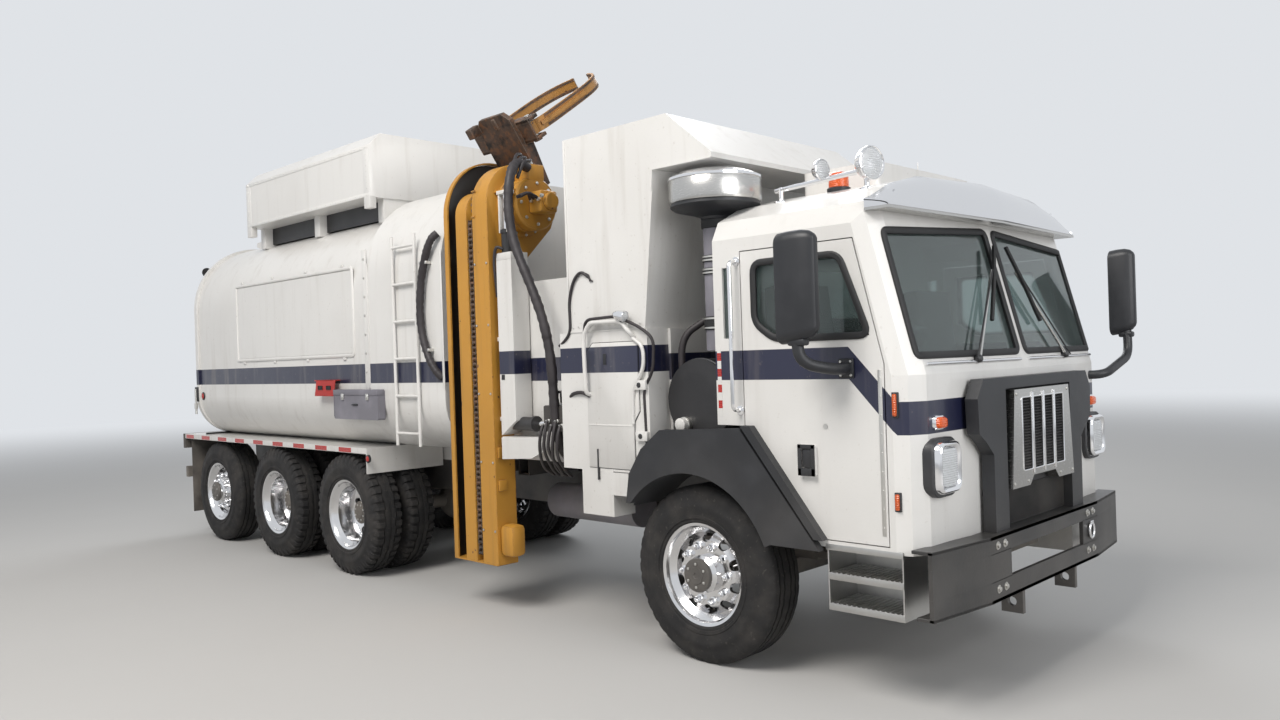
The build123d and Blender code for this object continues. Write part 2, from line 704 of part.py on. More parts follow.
def steps():
    """The right-hand boarding step: two treads between side plates, under the cab."""
    y = (-HALF_WIDTH + 10, -HALF_WIDTH + 280)
    t = 8.0
    step = block((X(STEP_BACK), X(STEP_BACK) + t), y, (STEP_LOW, CAB_FLOOR))
    step += block((X(STEP_FRONT) - t, X(STEP_FRONT)), y, (STEP_LOW, CAB_FLOOR))
    for z in (STEP_LOW, 640):
        step += block((X(STEP_BACK), X(STEP_FRONT)), y, (z, z + 35))
    step += block((X(STEP_BACK), X(STEP_FRONT)), (y[1] - t, y[1]), (STEP_LOW, CAB_FLOOR))
    return both(step)


def fenders():
    """Black fenders: a lip round each front wheel and the curved sheet over it."""
    x = FRONT_AXLE_X
    gap = 2 * PANEL_GAP
    lip = [(-500, 930), (-470, 1110), (-360, 1270), (-200, 1390), (DOOR_BACK - gap - 40, ARCH_TOP - 15),
           (DOOR_BACK - gap, ARCH_TOP - gap), (DOOR_CUT - gap, DOOR_LOW - gap), (STEP_BACK - gap, 790),
           (600, 790), (0, TYRE_RADIUS), (-420, 930)]
    inner = -HALF_WIDTH - RUN_GAP
    arch = across(ARCH_RADIUS, x, (-4 * HALF_WIDTH, 4 * HALF_WIDTH), TYRE_RADIUS)
    piece = side_profile([(x + px, pz) for px, pz in lip], (-FENDER_OUT_Y, inner)) - arch
    sheet = across(ARCH_RADIUS + 12, x, (inner - 5, -HALF_WIDTH + 330), TYRE_RADIUS) - arch
    sheet &= block((x - 480, x + 545), (-HALF_WIDTH - 10, 0), (860, 1400))
    return both(piece + sheet)


def roof_box():
    """The white cooling box on the roof."""
    box = block((X(300), X(830)), (-420, 760), (CAB_CROWN - 30, 2940))
    return fillet(box.edges().filter_by(Axis.Z), 40) - cab_form(-RUN_GAP)


def roof_lamps():
    """The round work lamp and the amber beacon."""
    lamp = bar((X(990), -860, 2835), (X(1080), -880, 2835), 95)
    stem = bar((X(1020), -865, 2640), (X(1020), -865, 2760), 16) - cab_form(-RUN_GAP)
    beacon = Pos(X(680), -600, 2825) * Cylinder(70, 100)
    foot = Pos(X(680), -600, 2750) * Cylinder(50, 60) - cab_form(-RUN_GAP)
    return group(lamp + stem, beacon + foot)


def air_cleaner():
    """The intake canister on its stack behind the cab."""
    x = X(70)
    y = -1000.0
    profile = [(0, 2440), (85, 2440), (95, 2600), (170, 2690), (275, 2715), (285, 2730), (285, 2870), (262, 2885),
               (262, 2905), (180, 2935), (0, 2950)]
    face = make_face(Polyline([(x + r, y, z) for r, z in profile], close=True))
    can = revolve(face, axis=Axis((x, y, 0), (0, 0, 1)))
    can = can - cab_form(-PANEL_GAP)
    return can + pipe([(x, y, 2450), (x, y, 1930), (x, -815, 1930)], 75, 110)


def cooling_unit():
    """The black fan housing and cooler behind the cab."""
    low = TUNNEL_TOP
    box = block((X(-20), X(150)), (-815, 880), (low, 2050))
    drum = bar((X(-40), -1080, 1560), (X(-40), -900, 1560), 250)
    foot = block((X(-20), X(150)), (-RAIL_OUT_Y, RAIL_FLANGE - RAIL_OUT_Y), (RAIL_TOP, low + 5))
    neck = block((X(-160), X(40)), (-905, -810), (1380, 1720))
    return box + foot + mirrored(foot) + drum + neck


def hopper_hood():
    """The tall hood in front of the opening: sloped face and cap, open behind."""
    t = HOOD_SHEET
    side = [(HOOD_BACK, HOOD_LOW), (HOOD_BACK, HOOD_TOP), (HOOD_RIDGE, HOOD_TOP), (235, HOOD_LIP + t),
            (235, HOOD_LIP), (HOOD_FACE, HOOD_LIP), (HOOD_FACE - 10, 2840), (HOOD_FOOT, HOOD_LOW)]
    hood = side_profile([(X(a), z) for a, z in side], (-HALF_WIDTH, HOOD_LEFT_Y))
    cavity = [(HOOD_BACK - 10, HOOD_LOW - 10), (HOOD_BACK - 10, HOOD_TOP - t), (HOOD_RIDGE - t / 2, HOOD_TOP - t),
              (150, HOOD_LIP + t), (HOOD_FACE - t, HOOD_LIP + t), (HOOD_FACE - 10 - t, 2840), (HOOD_FOOT - t, HOOD_LOW - 10)]
    hood -= side_profile([(X(a), z) for a, z in cavity], (-HALF_WIDTH + t, HOOD_LEFT_Y - t))
    return hood


def hopper_tub():
    """The open hopper: floor, low right wall for the lift, high left wall, front wall."""
    y = (-TUB_RIGHT_Y, HALF_WIDTH)
    tub = block((X(TUB_BACK), X(TUB_FRONT)), y, (TUB_FLOOR, TUB_LEFT_RIM))
    tub -= block((X(TUB_BACK) + SHEET, X(TUB_FRONT) - SHEET), (y[0] + SHEET, y[1] - SHEET),
                 (TUB_FLOOR + SHEET, TUB_LEFT_RIM + 10))
    far = HOOD_LEFT_Y + PANEL_GAP
    tub -= block((X(TUB_BACK) - 5, X(TUB_FRONT) + 5), (y[0] - 5, far), (TUB_RIM, TUB_LEFT_RIM + 10))
    tub -= block((X(HOOD_BACK) - PANEL_GAP, X(TUB_FRONT) + 5), (y[0] - 5, far), (HOOD_LOW, TUB_RIM + 5))
    tub -= block((X(HOOD_BACK) - PANEL_GAP, X(TUB_FRONT) + 5), (far - 10, HALF_WIDTH + 5), (2600, TUB_LEFT_RIM + 10))
    return tub


def side_cabinet():
    """The white valve cabinet under the hood's side."""
    y = (-HALF_WIDTH, -TUB_RIGHT_Y)
    box = block((X(-1130), X(-320)), y, (1110, HOOD_LOW))
    box += block((X(-950), X(-660)), y, (820, 1115))
    return box


def drum_outline(top, half):
    """The body's section, (y, z): broad rounded shoulders, tighter bilge."""
    low = DRUM_LOW
    face = make_face(Polyline([(0, -half, low), (0, half, low), (0, half, top), (0, -half, top)], close=True))
    corners = face.vertices().sort_by(Axis.Z)
    face = fillet(corners[2:], 720)
    corners = face.vertices().group_by(Axis.Z)[0]
    return fillet(corners, 420)


def body_drum():
    """The hollow body: a long rounded barrel and a taller collar at its front."""
    long = Pos(X(DRUM_BACK), 0, 0) * extrude(drum_outline(DRUM_TOP, DRUM_HALF), amount=DRUM_STEP - DRUM_BACK,
                                              dir=(1, 0, 0))
    collar = Pos(X(DRUM_STEP), 0, 0) * extrude(drum_outline(COLLAR_TOP, DRUM_HALF + 20),
                                              amount=DRUM_FRONT - DRUM_STEP, dir=(1, 0, 0))
    inner = offset(drum_outline(DRUM_TOP, DRUM_HALF), -DRUM_WALL)
    cavity = Pos(X(DRUM_BACK) - 5, 0, 0) * extrude(inner, amount=DRUM_FRONT - DRUM_BACK - DRUM_WALL, dir=(1, 0, 0))
    body = (long + collar) - cavity
    x = X(DRUM_BACK) - GATE_PIN_BACK
    z = DRUM_TOP + GATE_PIN_UP
    for y in GATE_EARS:
        ear = across(30, x, (y - 20, y + 20), z)
        ear += block((x, x + 100), (y - 20, y + 20), (z - 30, z + 30))
        ear += block((x + GATE_PIN_BACK + 2, x + 100), (y - 20, y + 20), (DRUM_TOP - 20, z))
        body += ear
    for y in (-GATE_LUG_Y, GATE_LUG_Y):
        body += across(20, x, (y - 60, y + 60), z)
    return body


def tailgate():
    """The domed gate that closes the body, hung from its top edge."""
    back = X(DRUM_BACK) - GATE_DEPTH
    flange = Pos(X(DRUM_BACK) - 62, 0, 0) * extrude(drum_outline(DRUM_TOP + 20, DRUM_HALF + 20), amount=60,
                                                  dir=(1, 0, 0))
    dome = Pos(back, 0, 0) * extrude(offset(drum_outline(DRUM_TOP, DRUM_HALF), -60), amount=GATE_DEPTH - 55,
                                     dir=(1, 0, 0))
    dome = chamfer(dome.faces().sort_by(Axis.X)[0].edges(), 90)
    hollow = Pos(back + 60, 0, 0) * extrude(offset(drum_outline(DRUM_TOP, DRUM_HALF), -130),
                                            amount=GATE_DEPTH, dir=(1, 0, 0))
    gate = (flange + dome) - hollow
    x = X(DRUM_BACK) - GATE_PIN_BACK
    z = DRUM_TOP + GATE_PIN_UP
    for y in (-GATE_LUG_Y, GATE_LUG_Y):
        lug = across(30, x, (y - 20, y + 20), z)
        lug += block((x - 29, x + 25), (y - 20, y + 20), (DRUM_TOP, z))
        gate += lug - across(20 + RUN_GAP, x, (y - 30, y + 30), z)
    return gate


def rear_deck():
    """The deck under the body with its skirts and front end plates."""
    x = (X(-REAR_REACH) + 60, X(DECK_FRONT))
    deck = block(x, (-HALF_WIDTH, HALF_WIDTH), (DECK_TOP - DECK_SHEET, DECK_TOP))
    skirt = block(x, (-HALF_WIDTH, -HALF_WIDTH + 12), (SKIRT_LOW + 110, DECK_TOP - 5))
    end = block((x[1] - 12, x[1]), (-HALF_WIDTH, -RAIL_OUT_Y - 20), (SKIRT_LOW - 60, DECK_TOP - 5))
    deck += skirt + mirrored(skirt) + end + mirrored(end)
    for y in (RAIL_OUT_Y - RAIL_FLANGE, -RAIL_OUT_Y):
        deck += block((X(-RAIL_BACK), X(DRUM_FRONT)), (y, y + RAIL_FLANGE), (RAIL_TOP, DECK_TOP - DECK_SHEET + 1))
    return deck


def body_sills():
    """The long sills that carry the hopper on the rails."""
    sills = []
    for y in (RAIL_OUT_Y - RAIL_FLANGE, -RAIL_OUT_Y):
        sills.append(block((X(-2500), X(-2420)), (y, y + RAIL_FLANGE), (RAIL_TOP, TUB_FLOOR)))
        sills.append(block((X(-1800), X(TUB_FRONT)), (y, y + RAIL_FLANGE), (RAIL_TOP, TUB_FLOOR)))
    return group(*sills)


def rear_bumper():
    """The tail: underrun bar, lamp panel and the edge of the deck."""
    back = X(-REAR_REACH)
    beam = block((back, back + 60), (-1200, 1200), (640, 760))
    stems = block((back + 55, back + 140), (-400, -320), (640, RAIL_TOP - 20))
    panel = block((back, back + 59), (-HALF_WIDTH, HALF_WIDTH), (SKIRT_LOW, DECK_TOP))
    link = block((back + 40, back + 59), (-400, 400), (700, SKIRT_LOW + 10))
    return beam + stems + mirrored(stems) + panel + link


def mudflaps():
    """Black flaps behind the rearmost wheels."""
    x = TAG_X - TYRE_RADIUS - 120
    flap = block((x - 8, x), (-HALF_WIDTH + 20, -HALF_WIDTH + 520), (260, DECK_TOP - DECK_SHEET))
    return both(flap)


def gas_pod():
    """The roof pod that covers the gas bottles: chamfered box on a low frame."""
    pod = block((X(POD_BACK), X(POD_FRONT)), (-POD_HALF, POD_HALF), (POD_LOW, POD_TOP))
    pod = chamfer(pod.edges().filter_by(Axis.X).group_by(Axis.Z)[-1], 110)
    for station in (POD_BACK + 60, (POD_FRONT + POD_BACK) / 2, POD_FRONT - 60):
        leg = block((X(station - 45), X(station + 45)), (-POD_HALF + 60, POD_HALF - 60), (DRUM_TOP, POD_LOW + 5))
        pod += leg
    return pod


def ladder():
    """The access ladder with its lower drop section."""
    y = -HALF_WIDTH - 12
    x = (X(-3160), X(-2830))
    rails = []
    for px in x:
        rails.append(bar((px, y, 1180), (px, y, 2870), 14))
    for k in range(6):
        rails.append(bar((x[0], y, 1280 + 300 * k), (x[1], y, 1280 + 300 * k), 12))
    ladder_form = rails[0]
    for piece in rails[1:]:
        ladder_form += piece
    for z in (1580, 2480):
        ladder_form += bar(((x[0] + x[1]) / 2, y, z), ((x[0] + x[1]) / 2, -DRUM_HALF - 20 - RUN_GAP, z), 10)
    return ladder_form


def tool_box():
    """The grey box that hangs over the deck's edge."""
    box = block((X(-4100), X(-3370)), (-HALF_WIDTH - 60, -HALF_WIDTH + 10), (1380, 1630))
    return fillet(box.edges().filter_by(Axis.Y), 20)


def chassis_side():
    """Air tanks and the battery box hung on the rails."""
    tank = bar((X(-1000), -600, 760), (X(-1900), -600, 760), 130)
    strap = block((X(-1480), X(-1430)), (-620, -RAIL_OUT_Y), (740, 860))
    other = block((X(-1900), X(-900)), (RAIL_OUT_Y, RAIL_OUT_Y + 480), (620, 940))
    return group(tank + strap, other)


def engine():
    """The engine and gearbox as one plain block."""
    block_top = TUNNEL_TOP - 40
    unit = block((X(-250), X(1180)), (-330, 330), (560, block_top))
    gearbox = block((X(-900), X(-240)), (-250, 250), (560, 1000))
    core = X(CAB_NOSE - RADIATOR_SETBACK)
    radiator = block((core - RADIATOR_DEPTH, core), (-340, 340), (640, TUNNEL_TOP - 10))
    hose = block((X(1170), core - RADIATOR_DEPTH + 10), (-60, 60), (1000, 1100))
    inner = RAIL_OUT_Y - RAIL_FLANGE
    feet = block((X(100), X(220)), (-inner, inner), (RAIL_TOP - 50, RAIL_TOP))
    return unit + gearbox + radiator + hose + feet


def mast():
    """The lift's column: two plates with round heads, the track between them, and its foot."""
    x0 = X(MAST_X) - MAST_HALF
    x1 = X(MAST_X) + MAST_HALF
    inner = -MAST_OUT_Y + 180
    plates = []
    for low in (x0, x1 - PLATE):
        plate = block((low, low + PLATE), (-MAST_OUT_Y, inner), (MAST_LOW, TIP_Z))
        plate += bar((low, TIP_Y, TIP_Z), (low + PLATE, TIP_Y, TIP_Z), HEAD_RADIUS)
        plates.append(plate)
    column = plates[0] + plates[1]
    column += block((x0, x1), (inner - 60, inner), (MAST_LOW, TIP_Z - HEAD_RADIUS - 60))
    rail_x = X(MAST_X)
    column += block((rail_x - 50, rail_x + 50), (-MAST_OUT_Y + 8, inner - 55), (MAST_LOW, TIP_Z - HEAD_RADIUS - 60))
    bearing = bar((x0, TIP_Y, TIP_Z), (x1, TIP_Y, TIP_Z), 40 + RUN_GAP)
    column -= bearing
    for station in (-170, 170):
        foot_x = (X(MAST_X) + station - 60, X(MAST_X) + station + 60)
        column += block(foot_x, (inner - 30, inner + 60), (RAIL_TOP + 20, RAIL_TOP + 140))
        column += block(
            (X(MAST_X) + station - SLIDE_TUBE / 2, X(MAST_X) + station + SLIDE_TUBE / 2),
            (inner + 50, 900), (RAIL_TOP + 30, RAIL_TOP + 30 + SLIDE_TUBE),
        )
    return column


def slide_sleeves():
    """The fixed sleeves across the rails that the reach tubes run in."""
    wall = 16.0
    pieces = []
    gap = RUN_GAP
    for station in (-170, 170):
        cx = X(MAST_X) + station
        half = SLIDE_TUBE / 2 + gap
        low = RAIL_TOP + 30 - gap
        high = low + SLIDE_TUBE + 2 * gap
        sleeve = block((cx - half - wall, cx + half + wall), (-900, 930), (low - wall, high + wall))
        sleeve -= block((cx - half, cx + half), (-910, 940), (low, high))
        pieces.append(sleeve)
    seat = block((X(MAST_X) - 260, X(MAST_X) + 260), (-RAIL_OUT_Y, RAIL_OUT_Y), (RAIL_TOP, RAIL_TOP + 14.5))
    return pieces[0] + pieces[1] + seat


def lift_drive():
    """The hydraulic motor that turns the lift's chain, on the front plate's head."""
    x = X(MAST_X) + MAST_HALF
    drum = bar((x, TIP_Y + 60, TIP_Z - 40), (x + 220, TIP_Y + 60, TIP_Z - 40), 170)
    collar = bar((x + 220, TIP_Y + 60, TIP_Z - 40), (x + 280, TIP_Y + 60, TIP_Z - 40), 110)
    return drum + collar


def lift_guide():
    """The white upright housing in front of the column and the rod that leaves it."""
    x = X(MAST_X) + MAST_HALF
    box = block((x, x + 170), (-1200, -1045), (1300, 2620))
    rod = bar((x + 85, -1120, 2600), (x + 85, -1120, 2790), 32)
    return box + rod


def sprocket():
    """The chain wheel at the head of the column, its shaft, and the link that tips the carriage."""
    x0 = X(MAST_X) - MAST_HALF
    x1 = X(MAST_X) + MAST_HALF
    wheel = bar((X(MAST_X) + 80, TIP_Y, TIP_Z), (X(MAST_X) + 120, TIP_Y, TIP_Z), 230)
    shaft = bar((x0 - 30, TIP_Y, TIP_Z), (x1 - 1, TIP_Y, TIP_Z), 40)
    face = -MAST_OUT_Y - CARRIAGE_GAP + RUN_GAP
    link = shaft
    for x in (X(MAST_X) - 150, X(MAST_X) + 150):
        link += block((x - 10, x + 10), (face, TIP_Y + 60), (TIP_Z - 70, TIP_Z + 60))
    return wheel + upright(link)


def upright(shape):
    """Carry a piece drawn with the lift upright to its tipped place over the hopper."""
    return shape.rotate(Axis((0, TIP_Y, TIP_Z), (1, 0, 0)), -TIP_ANGLE)


def carriage():
    """The plate that rides up the column, with the gripper's crosspiece and its two pins."""
    y = -MAST_OUT_Y - CARRIAGE_GAP
    plate = block((X(MAST_X) - 200, X(MAST_X) + 200), (y - 40, y), (TIP_Z - 760, TIP_Z + 40))
    cross = block((X(MAST_X) - 340, X(MAST_X) + 340), (y - 150, y - 35), (GRIP_Z - 90, GRIP_Z + 90))
    piece = plate + cross
    for side in (-1, 1):
        for z in (TIP_Z - 720, TIP_Z - 250):
            low, high = sorted((X(MAST_X) + side * 62, X(MAST_X) + side * 208))
            piece += block((low, high), (y - 5, y + 45), (z, z + 120))
        px = X(MAST_X) + side * GRIP_PIN_X
        low, high = sorted((px - side * GRIP_POCKET, px + side * 2 * GRIP_POCKET))
        piece -= block((low, high), (y - 200, y - 50), (GRIP_Z - 55, GRIP_Z + 55))
        piece += Pos(px, y - GRIP_PIN_Y, GRIP_Z) * Cylinder(GRIP_PIN_RADIUS, 180)
    return upright(piece)


def gripper(side):
    """One curved gripping finger: its band bends round a bin from the eye on its pin."""
    y = -MAST_OUT_Y - CARRIAGE_GAP - GRIP_PIN_Y
    px = X(MAST_X) + side * GRIP_PIN_X
    z = (GRIP_Z - 50, GRIP_Z + 50)
    points = [(-20, 35), (35, 30), (70, -30), (85, -200), (85, -650), (20, -850), (-170, -960), (-185, -935),
              (-5, -835), (60, -645), (60, -210), (30, -50), (-20, -35)]
    finger = plan_profile([(px + side * a, y + b) for a, b in points], z)
    finger += Pos(px, y, GRIP_Z) * Cylinder(46, 100)
    finger -= Pos(px, y, GRIP_Z) * Cylinder(GRIP_PIN_RADIUS + RUN_GAP, 140)
    return upright(finger)


def tow_eyes():
    """The two towing eyes that hang from the bumper's arms and reach below its sole."""
    x = X(FRONT_REACH) - TOW_EYE_BACK
    y = (-TOW_EYE_Y - TOW_EYE_THICK, -TOW_EYE_Y)
    low = BUMPER_LOW - TOW_EYE_DROP
    eye = block((x - TOW_EYE_HALF, x + TOW_EYE_HALF), y, (low - TOW_EYE_HALF, BUMPER_LOW - RUN_GAP))
    eye -= across(TOW_EYE_RADIUS, x, (y[0] - 10, y[1] + 10), low)
    return both(eye)


NODES = {}


def wheels():
    """Every wheel: its tyre and its rim, right and left."""
    table = (
        # name, tyre and rim of the right-hand wheel
        ("front", single_wheel(FRONT_AXLE_X, STEER_WHEEL_Y, STEER_TYRE_WIDTH)),
        ("drive_1", twin_wheel(DRIVE_1_X)),
        ("drive_2", twin_wheel(DRIVE_2_X)),
        ("tag", single_wheel(TAG_X, TAG_WHEEL_Y, STEER_TYRE_WIDTH)),
    )
    for name, (rubber, metal) in table:
        NODES[f"tyre_{name}_right"] = rubber
        NODES[f"rim_{name}_right"] = metal
        NODES[f"tyre_{name}_left"] = mirrored(rubber)
        NODES[f"rim_{name}_left"] = mirrored(metal)


def build():
    NODES["frame_rails"] = frame_rails()
    NODES["front_axle"] = front_axle()
    NODES["knuckle_right"] = knuckle()
    NODES["knuckle_left"] = mirrored(knuckle())
    NODES["rear_axles"] = group(drive_axles(), tag_axle())
    NODES["engine"] = engine()
    NODES["side_boxes"] = group(chassis_side(), tool_box())
    NODES["cab_shell"] = cab_shell()
    NODES["cab_glass"] = cab_glass()
    NODES["cab_interior"] = cab_interior()
    NODES["door_right"] = door()
    NODES["door_left"] = mirrored(door())
    NODES["door_glass_right"] = door_glass()
    NODES["door_glass_left"] = mirrored(door_glass())
    NODES["bumper"] = bumper()
    NODES["tow_eyes"] = tow_eyes()
    NODES["grille_guard"] = grille_guard()
    NODES["grille"] = grille()
    NODES["lamps"] = group(lamps(), roof_lamps())
    NODES["windshield_trim"] = group(visor(), wipers())
    NODES["mirror_right"] = mirror_right()
    NODES["mirror_left"] = mirror_left()
    NODES["cab_steps"] = steps()
    NODES["front_fenders"] = fenders()
    NODES["roof_box"] = roof_box()
    NODES["air_cleaner"] = air_cleaner()
    NODES["cooling_unit"] = cooling_unit()
    NODES["hopper_hood"] = hopper_hood()
    NODES["hopper_tub"] = hopper_tub()
    NODES["side_cabinet"] = side_cabinet()
    NODES["body_drum"] = body_drum()
    NODES["tailgate"] = tailgate()
    NODES["rear_deck"] = rear_deck()
    NODES["tail"] = group(rear_bumper(), mudflaps())
    NODES["gas_pod"] = gas_pod()
    NODES["ladder"] = ladder()
    NODES["lift_subframe"] = group(slide_sleeves(), body_sills())
    NODES["lift_mast"] = mast()
    NODES["lift_drive"] = lift_drive()
    NODES["lift_guide"] = lift_guide()
    NODES["lift_sprocket"] = sprocket()
    NODES["lift_carriage"] = carriage()
    NODES["gripper_front"] = gripper(1)
    NODES["gripper_rear"] = gripper(-1)
    wheels()


build()
os.makedirs("parts", exist_ok=True)
for node_name, node_shape in NODES.items():
    export_step(node_shape, f"parts/{node_name}.step")
    print(node_name, len(node_shape.solids()), round(node_shape.volume / 1e6, 2))
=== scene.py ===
# %% [markdown]
# # A side loader garbage truck, dressed for a picture
# The truck's steel is already modelled and packed: rails, axles, cab, hopper, body and lift.
# This lesson loads that fixed frame, never moves or resizes it, and adds what an eye looks for:
# finishes, rubber seals, tyre tread, bolts, chain, lamps and lenses. Every length is in metres.

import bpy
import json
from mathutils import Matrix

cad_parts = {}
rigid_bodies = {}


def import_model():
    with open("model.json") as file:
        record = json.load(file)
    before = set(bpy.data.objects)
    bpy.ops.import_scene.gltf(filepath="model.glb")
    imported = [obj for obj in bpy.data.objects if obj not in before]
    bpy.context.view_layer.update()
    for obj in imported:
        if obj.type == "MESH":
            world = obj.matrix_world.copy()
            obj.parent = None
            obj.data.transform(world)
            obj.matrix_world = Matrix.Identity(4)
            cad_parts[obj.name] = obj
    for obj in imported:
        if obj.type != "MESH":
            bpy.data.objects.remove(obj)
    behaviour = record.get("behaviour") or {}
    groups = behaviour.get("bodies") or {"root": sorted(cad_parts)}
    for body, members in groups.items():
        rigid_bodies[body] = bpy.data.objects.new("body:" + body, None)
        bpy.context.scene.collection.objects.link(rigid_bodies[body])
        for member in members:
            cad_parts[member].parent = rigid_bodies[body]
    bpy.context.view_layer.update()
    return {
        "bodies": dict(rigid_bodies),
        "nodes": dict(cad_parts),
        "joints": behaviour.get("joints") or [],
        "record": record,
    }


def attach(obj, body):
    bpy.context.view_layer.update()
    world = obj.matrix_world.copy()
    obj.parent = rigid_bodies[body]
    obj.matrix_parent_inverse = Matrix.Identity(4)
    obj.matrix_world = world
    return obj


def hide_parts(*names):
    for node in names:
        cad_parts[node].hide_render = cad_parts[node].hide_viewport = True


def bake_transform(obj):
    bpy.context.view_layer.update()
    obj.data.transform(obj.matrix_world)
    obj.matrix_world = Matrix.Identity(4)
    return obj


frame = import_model()

# %% [markdown]
# ## Tools of the trade
# Blender's own bmesh module builds meshes face by face. Most things on a truck are lofts: a hose
# is a row of circles, a lamp is a row of circles that change size, a seal is a row of small
# profiles along a window's edge. So one class holds a mesh in the making, and its `loft` method
# skins any row of rings. Tubes, turned parts and rounded boxes are then short methods on top.

# %% A mesh in the making
import json
import math

import bmesh
import bpy
from mathutils import Matrix, Vector

SMOOTH_ANGLE = math.radians(38)
UP, AHEAD, BACK, RIGHT = (0, 0, 1), (1, 0, 0), (-1, 0, 0), (0, -1, 0)


def ring(centre, axis, radius, sides=20):
    """Points of a circle round `axis`."""
    axis = Vector(axis).normalized()
    first = axis.orthogonal().normalized()
    second = axis.cross(first)
    turns = [2 * math.pi * k / sides for k in range(sides)]
    return [Vector(centre) + radius * (math.cos(t) * first + math.sin(t) * second) for t in turns]


class Piece:
    """One mesh that rides on one body of the frame, built up part by part."""

    def __init__(self, name, body):
        self.name = name
        self.body = body
        self.mesh = bmesh.new()
        self.finishes = []
        self.current = 0

    def use(self, material):
        """The finish of what is added next."""
        if material not in self.finishes:
            self.finishes.append(material)
        self.current = self.finishes.index(material)
        return self

    def face(self, vertices):
        made = self.mesh.faces.new(vertices)
        made.material_index = self.current

    def loft(self, rings, caps=True, closed=True, around=False):
        """Skins a row of rings. `closed` rings are loops; `around` joins last to first."""
        rows = [[self.mesh.verts.new(p) for p in points] for points in rings]
        count = len(rows[0])
        pairs = list(zip(rows, rows[1:] + rows[:1])) if around else list(zip(rows, rows[1:]))
        for low, high in pairs:
            for k in range(count if closed else count - 1):
                n = (k + 1) % count
                self.face((low[k], low[n], high[n], high[k]))
        if caps and not around and closed:
            self.face(rows[0][::-1])
            self.face(rows[-1])
        return self

    def rod(self, start, end, radius, sides=16):
        axis = Vector(end) - Vector(start)
        return self.loft([ring(start, axis, radius, sides), ring(end, axis, radius, sides)])

    def turned(self, centre, axis, profile, sides=32, caps=True):
        """A turned part: `profile` lists (distance along the axis, radius)."""
        axis = Vector(axis).normalized()
        return self.loft([ring(Vector(centre) + axis * s, axis, max(r, 1e-4), sides)
                          for s, r in profile], caps)

    def bolt(self, centre, axis, radius, height, end_radius, end_height, sides=6):
        """A turned stud: straight up to `height`, then tapered to its end."""
        return self.turned(centre, axis, [(0, radius), (height, radius), (end_height, end_radius)],
                           sides)

    def slab(self, outline, y_low, y_high):
        """A plate whose (x, z) outline is carried across the truck."""
        return self.loft([[(x, y, z) for x, z in outline] for y in (y_low, y_high)])

    def bar(self, outline, x_low, x_high):
        """A bar whose (y, z) outline is carried along the truck."""
        return self.loft([[(x, y, z) for y, z in outline] for x in (x_low, x_high)])

    def hoop(self, path, profile, facing):
        """A closed path with a small profile carried round it."""
        return self.loft(along(path, profile, facing, around=True), caps=False, around=True)

    def box(self, low, high, soft=0.0):
        """A block between any two opposite corners, its edges rounded by `soft`."""
        low, high = (Vector(pick(pair) for pair in zip(low, high)) for pick in (min, max))
        made = bmesh.ops.create_cube(self.mesh, size=1)["verts"]
        middle = (low + high) / 2
        for v in made:
            v.co = Vector(v.co[i] * (high[i] - low[i]) for i in range(3)) + middle
        faces = {f for v in made for f in v.link_faces}
        for f in faces:
            f.material_index = self.current
        if soft:
            edges = list({e for v in made for e in v.link_edges})
            bmesh.ops.bevel(self.mesh, geom=edges, offset=soft, segments=2, affect="EDGES",
                            profile=0.5, material=self.current)
        return self

    def done(self, slot, replaces=(), turn=None, span=None):
        """Turns the mesh into an object that rides on its body. `turn` is a last rotation, and a
        piece between two bodies has `span`, its end points on them; such a piece rides on neither
        body and stays where it is built."""
        data = bpy.data.meshes.new(self.name)
        if turn:
            self.mesh.transform(turn)
        bmesh.ops.recalc_face_normals(self.mesh, faces=self.mesh.faces[:])
        self.mesh.to_mesh(data)
        self.mesh.free()
        for material in self.finishes:
            data.materials.append(material)
        data.shade_smooth()
        data.set_sharp_from_angle(angle=SMOOTH_ANGLE)
        thing = bpy.data.objects.new(self.name, data)
        bpy.context.scene.collection.objects.link(thing)
        if span:
            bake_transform(thing)
        else:
            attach(thing, self.body)
        if replaces:
            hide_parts(*replaces)
        print("made", self.name, len(data.polygons), "faces")
        return thing


# %% [markdown]
# A bent pipe or hose needs a path with rounded corners. A quadratic curve from the middle of one
# leg to the middle of the next is smooth and cheap, and a fixed `bend` keeps pipes straight
# between corners, as a tube bender leaves them. Hoses take the whole leg, so they never look bent.

# %% Paths with rounded corners and the tubes along them
def rounded(points, bend, steps=6):
    """A polyline with its inner corners replaced by arcs that start `bend` from the corner."""
    points = [Vector(p) for p in points]
    path = [points[0]]
    for before, corner, after in zip(points, points[1:], points[2:]):
        back, ahead = before - corner, after - corner
        reach_in = min(bend, back.length * 0.49)
        reach_out = min(bend, ahead.length * 0.49)
        a = corner + back.normalized() * reach_in
        b = corner + ahead.normalized() * reach_out
        for k in range(steps + 1):
            t = k / steps
            path.append(a * (1 - t) ** 2 + corner * 2 * t * (1 - t) + b * t * t)
    return path + [points[-1]]


def along(path, profile, facing=None, around=False):
    """Rings of a flat `profile` of (side, out) pairs carried along a path without twist."""
    count = len(path)
    rings = []
    side = None
    for k, point in enumerate(path):
        before = path[k - 1] if k or around else point
        after = path[(k + 1) % count] if k + 1 < count or around else point
        tangent = (after - before).normalized()
        if facing is not None:
            out = Vector(facing) - Vector(facing).dot(tangent) * tangent
            out.normalize()
            side = out.cross(tangent)
        else:
            side = tangent.orthogonal() if side is None else side - side.dot(tangent) * tangent
            side.normalize()
            out = tangent.cross(side)
        rings.append([point + side * s + out * o for s, o in profile])
    return rings


